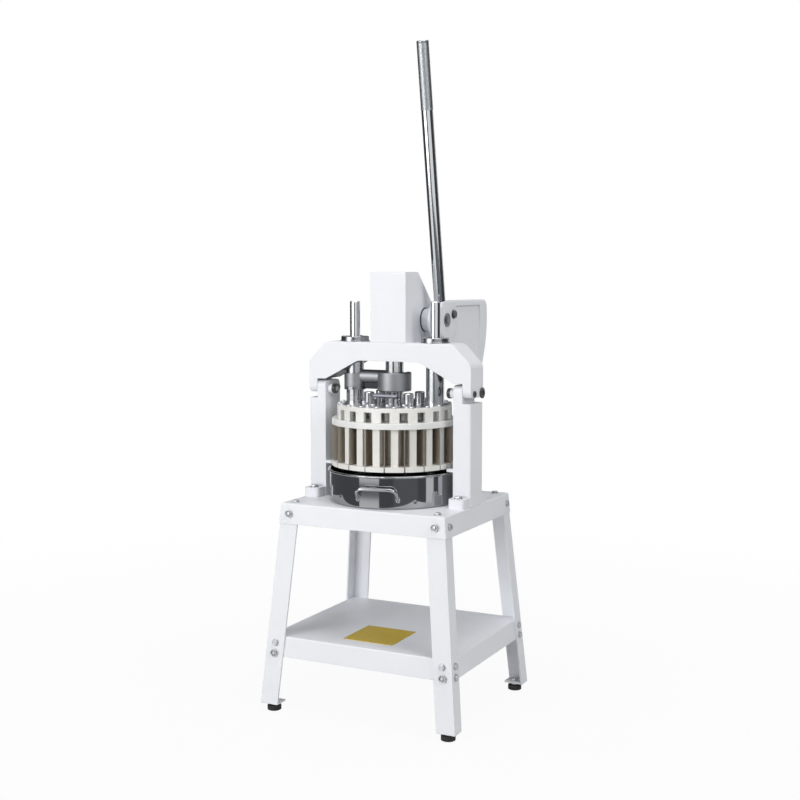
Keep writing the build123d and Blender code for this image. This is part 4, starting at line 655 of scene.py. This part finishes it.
# Knurled steel: grey and satin, because each small facet scatters the light.
knurled_steel = metal(
    "knurled_steel", "#B0B3B6", "#868A8E", roughness=0.40, vary=0.06, grain_mm=0.9)
grip = np.concatenate(solids("lever_grip"))
grip_axis = long_axis(grip)
grip_axis *= np.sign(grip_axis[2])
heights, radii, foot = levels_of(grip, grip_axis)
bottom, top, outside = heights[0], heights[-1], radii.max()
starts = int(2 * np.pi * outside / KNURL_PITCH)
columns = KNURL_STEPS * starts
pattern = np.linspace(
    bottom + COLLAR_LOW, top - COLLAR_HIGH, KNURL_STEPS * int((top - bottom) / KNURL_PITCH))
plain_low, plain_high = [
    np.repeat(end[:, 1:] * outside, columns, axis=1) for end in (LOW_END, HIGH_END)]
radius = np.concatenate([plain_low, knurl(pattern, columns, starts, outside), plain_high])
along = np.concatenate([bottom + LOW_END[:, 0], pattern, top - HIGH_END[:, 0]])
unit = turned(np.stack([along, 1 + 0 * along, 0 * along], axis=1), foot, grip_axis, columns)
line = foot + along[:, None, None] * grip_axis
make_piece(
    "knurled_grip", [skin(line + (unit - line) * radius[:, :, None])], knurled_steel, "lever",
    ["lever_grip"])


# Knives: ground steel blades and two rings, seated in slots under a coated aluminium carrier disc.
# They are ground along their length and tarnished to a warm grey.
knife_steel = metal(
    "ground_knife_steel", "#CFC8BD", "#A29A8E", roughness=0.36, vary=0.06, grain_mm=0.5,
    stretch=(1, 1, 8))
dress(
    knife_steel, "outer_blades", "middle_blades", "inner_blades", "outer_knife_ring",
    "inner_knife_ring")
IVORY_CLOUD = 0.03
IVORY_GLOSS = 0.06
CUTTER_WIDTH = 0.004
CUTTER_DEPTH = 0.0001


def ivory(name, light, dark, roughness):
    """Ivory plastic or coating: soft clouds of two shades, fine cutter lines and a waxy depth."""
    material, shader, place = surface(
        name, IOR=1.48, Subsurface_Weight=0.06, Subsurface_Scale=0.003,
        Subsurface_Radius=(1.0, 0.95, 0.85))
    clouds = add(material, "TexNoise", {
        "Vector": place, "Scale": 1 / IVORY_CLOUD, "Detail": 4.0}).outputs["Fac"]
    tint = add(
        material, "Mix", {SHARE: clouds, FIRST: linear(dark), SECOND: linear(light)},
        data_type="RGBA")
    gloss = add(material, "MapRange", {
        "Value": clouds, "To Min": roughness - IVORY_GLOSS, "To Max": roughness + IVORY_GLOSS})
    lay = add(material, "Mapping", {"Vector": place, "Scale": (1, 1, 10)})
    lines = add(material, "TexNoise", {
        "Vector": lay.outputs["Vector"], "Scale": 1 / CUTTER_WIDTH})
    edge = add(material, "Bevel", {"Radius": EDGE_ROUND}, samples=4)
    bump = add(material, "Bump", {
        "Height": lines.outputs["Fac"], "Distance": CUTTER_DEPTH, "Strength": 0.25,
        "Normal": edge.outputs["Normal"]})
    shade(material, shader, tint.outputs[MIXED], gloss.outputs["Result"], bump.outputs["Normal"])
    return material


# Ivory coating on aluminium: an even, half gloss skin.
coating = ivory("ivory_coated_aluminium", "#F0F1EF", "#E5E6E4", roughness=0.34)
dress(coating, "knife_carrier")


# Guides of the head: two polished rods in thick sleeves, and four short pins that lead the press
# plate. Sleeves and pins are turned aluminium, with close rings of the lathe up their sides.
turned_aluminium = metal(
    "turned_aluminium", "#D2D4D7", "#B0B3B6", roughness=0.20, vary=0.06, grain_mm=0.7,
    stretch=(1, 1, 8))
dress(polished_steel, "guide_rod_left", "guide_rod_right")
dress(turned_aluminium, "guide_sleeves", "press_guides")


# Press: rings of machined acetal segments on posts, tied together by a windowed ring and an
# aluminium plate with bolts on top. A small bar on two studs lifts it off the knives.
# Acetal: ivory and half dull, with the fine lines of the cutter.
acetal = ivory("ivory_acetal", "#F1F0EC", "#E6E5E0", roughness=0.38)
dress(acetal, "press_ring", "outer_segments", "middle_segments", "inner_segments")
# Faced aluminium: rings about the press axis, drawn two millimetres apart so that they show. A wave
# pattern of scale 1 repeats after the length below.
WAVE_REPEAT = 2 * np.pi / 20
faced, faced_shader, faced_place = surface("faced_aluminium", Metallic=1.0)
plate_low, plate_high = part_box("press_plate")
plate_middle = (plate_low + plate_high) / 2
about = add(faced, "Mapping", {
    "Vector": faced_place, "Location": (-plate_middle.x, -plate_middle.y, 0)})
facing = add(
    faced, "TexWave",
    {"Vector": about.outputs["Vector"], "Scale": WAVE_REPEAT / RING_PITCH, "Distortion": 1.0},
    wave_type="RINGS", rings_direction="Z").outputs["Fac"]
faced_tint = add(
    faced, "Mix", {SHARE: facing, FIRST: linear("#A9ACAF"), SECOND: linear("#CFD1D4")},
    data_type="RGBA")
faced_gloss = add(faced, "MapRange", {"Value": facing, "To Min": 0.32, "To Max": 0.2})
faced_bump = add(faced, "Bump", {"Height": facing, "Distance": RING_DEPTH, "Strength": 0.4})
shade(
    faced, faced_shader, faced_tint.outputs[MIXED], faced_gloss.outputs["Result"],
    faced_bump.outputs["Normal"])
dress(faced, "press_plate")
dress(zinc, "inner_screws")
# Phosphate on steel: a dull mid grey with a fine crystal grain.
phosphated_steel = metal(
    "phosphated_steel", "#8F9197", "#6B6D73", roughness=0.42, vary=0.05, grain_mm=0.6)
dress(phosphated_steel, "lift_studs")
bolt_set("ring_bolt_set", "ring_bolts", "press", zinc, UP)
bolt_set("press_plate_bolt_set", "press_plate_bolts", "press", zinc, UP)


# Locking arm: an aluminium casting, blasted and then brushed, that swings on the left sleeve over a
# steel collar and lays its fork about the rack. A thin rib under the bar is coloured near black,
# painted shade for the shadow under the bar.
cast_aluminium = metal(
    "blasted_aluminium", "#A5A7AA", "#85878B", roughness=0.50, vary=0.06, grain_mm=0.7,
    bump_mm=0.15)
dress(cast_aluminium, "lock_arm")
dress(turned_steel, "arm_collar")
RIB_HALF = 0.004
RIB_EDGE = 0.0008
# Corners of the rib, from hub to fork: X from the rack's axis, and height over the arm's underside
RIB_OUTLINE = np.array([
    (-0.083, 0.032), (-0.083, 0.0095), (-0.0785, 0.0085), (-0.0785, 0.0025), (-0.058, 0.0025),
    (-0.0345, 0.0025), (-0.0345, 0.032), (-0.058, 0.032)])


def upright_plate(outline, half, edge):
    """Grid of a plate in the X-Z plane: its outline at four depths.

    At both faces each point is drawn in by an edge's width toward the outline's middle.
    """
    spoke = outline - outline.mean(axis=0)
    inner = outline - edge * spoke / np.linalg.norm(spoke, axis=1, keepdims=True)
    across_x, up_z = np.stack([inner, outline, outline, inner]).transpose(2, 0, 1)
    depth = np.array([-half, edge - half, half - edge, half])[:, None] + 0 * up_z
    return np.stack([across_x, depth, up_z], axis=-1)


# Dark and dull, a little rough: painted shade for the shadow under the arm's bar.
rib_painted_shade = metal(
    "rib_painted_shade_dark", "#4A4D51", "#303236", roughness=0.62, vary=0.06, grain_mm=1.2, bump_mm=0.2)
rack_low, rack_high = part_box("rack")
rib_foot = np.array((0.0, (rack_low.y + rack_high.y) / 2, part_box("lock_arm")[0].z))
rib = skin(rib_foot + upright_plate(RIB_OUTLINE, RIB_HALF, RIB_EDGE))
# Painted shade: the rib's near-black colour stands for the shadow under the bar.
make_piece("arm_rib", [rib], rib_painted_shade, "arm")


# Dough pan: spun stainless steel, mirror polished with the faint rings of the buff. Two handles
# bent from round bar are welded low on its side.
stainless = metal(
    "polished_stainless", "#B4B5B7", "#939496", roughness=0.06, vary=0.02, grain_mm=0.9,
    stretch=(0.6, 0.6, 7))
dress(stainless, "dough_pan")
WALL_RADIUS = 0.154
HANDLE_HALF = 0.047
HANDLE_DROP = 0.026
HANDLE_BEND = 0.018
HANDLE_RADIUS = 0.004
HANDLE_SUNK = 0.001
BEAD = 0.0018
BEAD_RIPPLES = 14
BEAD_SWELL = 0.15


def bent_rod(corners, bend, radius, steps=12, columns=24):
    """Grid of a rod bent in one plane: a circle carried along a path of straight runs and curves.

    At an inner corner c the path is (1 - t)^2 p + 2 t (1 - t) c + t^2 q, where p and q lie one bend
    away on its two runs. The circle's points are path + radius * (cos a * side + sin a * normal).
    """
    inner = corners[1:-1]
    back, onward = corners[:-2] - inner, corners[2:] - inner
    start = inner + bend * back / np.linalg.norm(back, axis=1, keepdims=True)
    end = inner + bend * onward / np.linalg.norm(onward, axis=1, keepdims=True)
    t = np.linspace(0, 1, steps)[:, None]
    curve = (1 - t) ** 2 * start[:, None] + 2 * t * (1 - t) * inner[:, None] + t ** 2 * end[:, None]
    path = np.concatenate([corners[:1], curve.reshape(-1, 3), corners[-1:]])
    direction = np.gradient(path, axis=0)
    direction /= np.linalg.norm(direction, axis=1, keepdims=True)
    normal = np.cross(back[0], onward[0])
    normal /= np.linalg.norm(normal)
    side = np.cross(normal, direction)
    angle = np.linspace(0, 2 * np.pi, columns, endpoint=False)
    circle = np.cos(angle)[None, :, None] * side[:, None] + np.sin(angle)[:, None] * normal
    return path[:, None] + radius * circle


def weld_bead(seam, outward, steps=84, columns=12):
    """A bead laid along a closed seam: a circle carried round it that swells with each ripple.

    The seam's points are put in order of angle about its middle, then spaced evenly by
    interpolation. The circle's radius is BEAD * (1 + BEAD_SWELL * cos(BEAD_RIPPLES * angle)).
    """
    middle = seam.mean(axis=0)
    first, second = across(outward)
    angle = np.arctan2((seam - middle) @ second, (seam - middle) @ first)
    order = np.argsort(angle)
    even = np.linspace(-np.pi, np.pi, steps, endpoint=False)
    path = np.stack(
        [np.interp(even, angle[order], value, period=2 * np.pi) for value in seam[order].T], axis=1)
    spoke = path - middle
    spoke /= np.linalg.norm(spoke, axis=1, keepdims=True)
    swell = BEAD * (1 + BEAD_SWELL * np.cos(BEAD_RIPPLES * even))
    turn = np.linspace(0, 2 * np.pi, columns, endpoint=False)
    ring = np.cos(turn)[None, :, None] * spoke[:, None] + np.sin(turn)[:, None] * outward
    return skin(path[:, None] + swell[:, None, None] * ring, ring=True)


pan_low, pan_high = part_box("dough_pan")
pan_middle = np.array((pan_low + pan_high) / 2) * (1, 1, 0)
foot_out = np.sqrt((WALL_RADIUS - HANDLE_SUNK) ** 2 - HANDLE_HALF ** 2)
beads = []
for end in ("front", "rear"):
    rod = solids(f"pan_handle_{end}")[0]
    outward = (rod.mean(axis=0) - pan_middle) * (1, 1, 0)
    outward /= np.linalg.norm(outward)
    along_bar = np.cross(UP, outward)
    bar_out = ((rod - pan_middle) @ outward).max() - HANDLE_RADIUS
    bar_height = rod[:, 2].max() - HANDLE_RADIUS
    bends = (
        (-1, foot_out, -HANDLE_DROP), (-1, bar_out, 0),
        (1, bar_out, 0), (1, foot_out, -HANDLE_DROP))
    corners = np.array([
        pan_middle + side * HANDLE_HALF * along_bar + out * outward + (bar_height + lift) * UP
        for side, out, lift in bends])
    bar = bent_rod(corners, HANDLE_BEND, HANDLE_RADIUS)
    make_piece(
        f"bent_handle_{end}", [skin(bar)], stainless, "pan",
        [f"pan_handle_{end}"])
    # Each foot's seam is its end circle, slid along the leg until it meets the wall.
    for foot, leg in ((bar[0], corners[1] - corners[0]), (bar[-1], corners[2] - corners[3])):
        radial = (foot.mean(axis=0) - pan_middle) * (1, 1, 0)
        radial /= np.linalg.norm(radial)
        reach = np.linalg.norm((foot - pan_middle)[:, :2], axis=1, keepdims=True)
        seam = foot + (WALL_RADIUS - reach) * leg / (leg @ radial)
        beads.append(weld_bead(seam, radial))
make_piece("handle_weld_beads", beads, stainless, "pan")


# Stage: a pale floor that keeps the shadow, white surroundings and soft boxes. Round it stand cloth
# flags and cards that only reflections see, as a studio sets them round polished metal.
def shown_to(owner):
    """Share of rays that show the white surroundings: those of the camera, gloss and glass."""
    path = add(owner, "LightPath", {})
    share = path.outputs["Is Camera Ray"]
    for kind in ("Glossy", "Transmission"):
        rays = path.outputs[f"Is {kind} Ray"]
        share = add(owner, "Math", {0: share, 1: rays}, operation="MAXIMUM").outputs["Value"]
    return share


def stage_sheet(name, points, faces, material):
    """A flat or curved sheet that stands round the machine."""
    mesh = bpy.data.meshes.new(name)
    mesh.from_pydata(points, [], faces)
    mesh.materials.append(material)
    sheet = bpy.data.objects.new(name, mesh)
    bpy.context.scene.collection.objects.link(sheet)
    return sheet


FLOOR_HALF = 12.0
FLOOR_HEIGHT = -0.0005
# Distances from the machine between which the floor's own glow rises to white
GLOW_NEAR = 0.3
GLOW_FAR = 2.4
GLOW_LEAST = 0.94
floor_material, floor_paint, floor_place = surface(
    "pale_floor", Base_Color=linear("#C8C8C8"), Roughness=0.8)
glow = add(floor_material, "Emission", {"Color": linear("#FFFFFF"), "Strength": 1.0})
away = add(floor_material, "VectorMath", {0: floor_place}, operation="LENGTH")
pale = add(floor_material, "MapRange", {
    "Value": away.outputs["Value"], "From Min": GLOW_NEAR, "From Max": GLOW_FAR,
    "To Min": GLOW_LEAST, "To Max": 1.0})
white_share = add(
    floor_material, "Math", {0: shown_to(floor_material), 1: pale.outputs["Result"]},
    operation="MULTIPLY")
blend = add(floor_material, "MixShader", {
    0: white_share.outputs["Value"], 1: floor_paint.outputs["BSDF"], 2: glow.outputs["Emission"]})
floor_tree = floor_material.node_tree
floor_tree.links.new(blend.outputs["Shader"], floor_tree.nodes["Material Output"].inputs["Surface"])
floor_corners = [
    (x * FLOOR_HALF, y * FLOOR_HALF, FLOOR_HEIGHT)
    for x, y in ((-1, -1), (1, -1), (1, 1), (-1, 1))]
floor = stage_sheet("floor", floor_corners, [(0, 1, 2, 3)], floor_material)

# The white room lights the machine far less than it shows
ROOM_LIGHT = 0.34
world = bpy.data.worlds.new("white_room")
world.use_nodes = True
bpy.context.scene.world = world
sky = world.node_tree.nodes["Background"]
level = add(world, "MapRange", {"Value": shown_to(world), "To Min": ROOM_LIGHT, "To Max": 1.0})
world.node_tree.links.new(level.outputs["Result"], sky.inputs["Strength"])
sky.inputs["Color"].default_value = linear("#FFFFFF")


def put_up(name, data, spot, toward, axis):
    """A lamp or camera at a spot, with one of its own axes turned toward a direction."""
    holder = bpy.data.objects.new(name, data)
    turn = toward.to_track_quat(axis, "Y").to_matrix().to_4x4()
    holder.matrix_world = Matrix.Translation(spot) @ turn
    bpy.context.scene.collection.objects.link(holder)
    return holder


def lamp(name, spot, aim, size, watts):
    """A square soft box that looks at a point."""
    light = bpy.data.lights.new(name, "AREA")
    light.size = size
    light.energy = watts
    put_up(name, light, spot, Vector(aim) - Vector(spot), "-Z")


lamp("key_light", (-1.5, -3.4, 1.5), aim=(0, 0, 0.7), size=2.2, watts=74)
lamp("side_light", (2.9, -1.0, 2.3), aim=(0, 0, 1.0), size=1.6, watts=33)
lamp("top_light", (0.4, -0.4, 4.2), aim=(0, 0, 0.5), size=2.0, watts=40)

# Camera: the photograph's viewing angle, found from the corners of the stand.
CAMERA_SPOT = (1.3566, -2.6709, 1.0085)
CAMERA_AZIMUTH = np.radians(26.81)
CAMERA_ELEVATION = np.radians(5.34)
LENS_MM = 56.97
SENSOR_MM = 36.0
camera = bpy.data.cameras.new("camera")
camera.lens = LENS_MM
camera.sensor_width = SENSOR_MM
level_share = np.cos(CAMERA_ELEVATION)
back = Vector((
    np.sin(CAMERA_AZIMUTH) * level_share, -np.cos(CAMERA_AZIMUTH) * level_share,
    np.sin(CAMERA_ELEVATION)))
bpy.context.scene.camera = put_up("camera", camera, CAMERA_SPOT, back, "Z")
bpy.context.scene.view_settings.view_transform = "Standard"

# Flags and cards: strips of a round wall that only reflections see. Each has two angles from the
# camera's side, counted up to the right, two heights and a shade. Those under the split face the
# pan, and those over it the rods and the lever.
FLAG_DISTANCE = 2.4
STRIP_FOOT = 0.13
STRIP_TOP = 0.192
SPLIT = 0.32
GREY_TOP = 0.62
WHITE_TOP = 0.74
ROOF = 3
BLACK_CLOTH = "#303235"
DARK_CLOTH = "#54575B"
GREY_CARD = "#6C6F73"
WHITE_CARD = "#FFFFFF"
FLAGS = [
    (-232, -62, 0, SPLIT, DARK_CLOTH),
    (-62, -26, STRIP_TOP, SPLIT, WHITE_CARD),
    (-62, -26, STRIP_FOOT, STRIP_TOP, GREY_CARD),
    (-58, -30, 0, STRIP_FOOT, WHITE_CARD),
    (-26, -2, 0, SPLIT, DARK_CLOTH),
    (-2, 40, 0, SPLIT, GREY_CARD),
    (40, 55, 0, SPLIT, DARK_CLOTH),
    (55, 66, 0, SPLIT, WHITE_CARD),
    (70, 86, 0, SPLIT, DARK_CLOTH),
    (86, 99, 0, SPLIT, WHITE_CARD),
    (99, 128, 0, SPLIT, DARK_CLOTH),
    (-180, -78, SPLIT, ROOF, BLACK_CLOTH),
    (-78, -27, SPLIT, WHITE_TOP, WHITE_CARD),
    (-27, -6, SPLIT, ROOF, DARK_CLOTH),
    (-6, 50, SPLIT, GREY_TOP, GREY_CARD),
    (50, 122, SPLIT, ROOF, BLACK_CLOTH),
    (148, 180, SPLIT, ROOF, BLACK_CLOTH)]


def flag_wall(first, last, low, high, columns=24):
    """Grid of one flag: points at a fixed distance round the press, at two heights."""
    turn = np.radians(np.linspace(first, last, columns)) + CAMERA_AZIMUTH
    edge = np.stack([np.sin(turn), -np.cos(turn), 0 * turn], axis=1) * FLAG_DISTANCE
    return np.stack([edge + UP * low, edge + UP * high])


for number, (first, last, low, high, tone) in enumerate(FLAGS):
    cloth = surface(
        f"flag_cloth_{number}", Base_Color=linear("#000000"), Emission_Color=linear(tone),
        Emission_Strength=1.0)[0]
    wall = flag_wall(first, last, low, high)
    corner = np.arange(wall.shape[0] * wall.shape[1]).reshape(wall.shape[:2])
    faces = np.stack([corner[0, :-1], corner[0, 1:], corner[1, 1:], corner[1, :-1]], axis=1)
    flag = stage_sheet(f"flag_{number}", wall.reshape(-1, 3), faces.tolist(), cloth)
    flag.visible_camera = False
    flag.visible_diffuse = False
    flag.visible_shadow = False
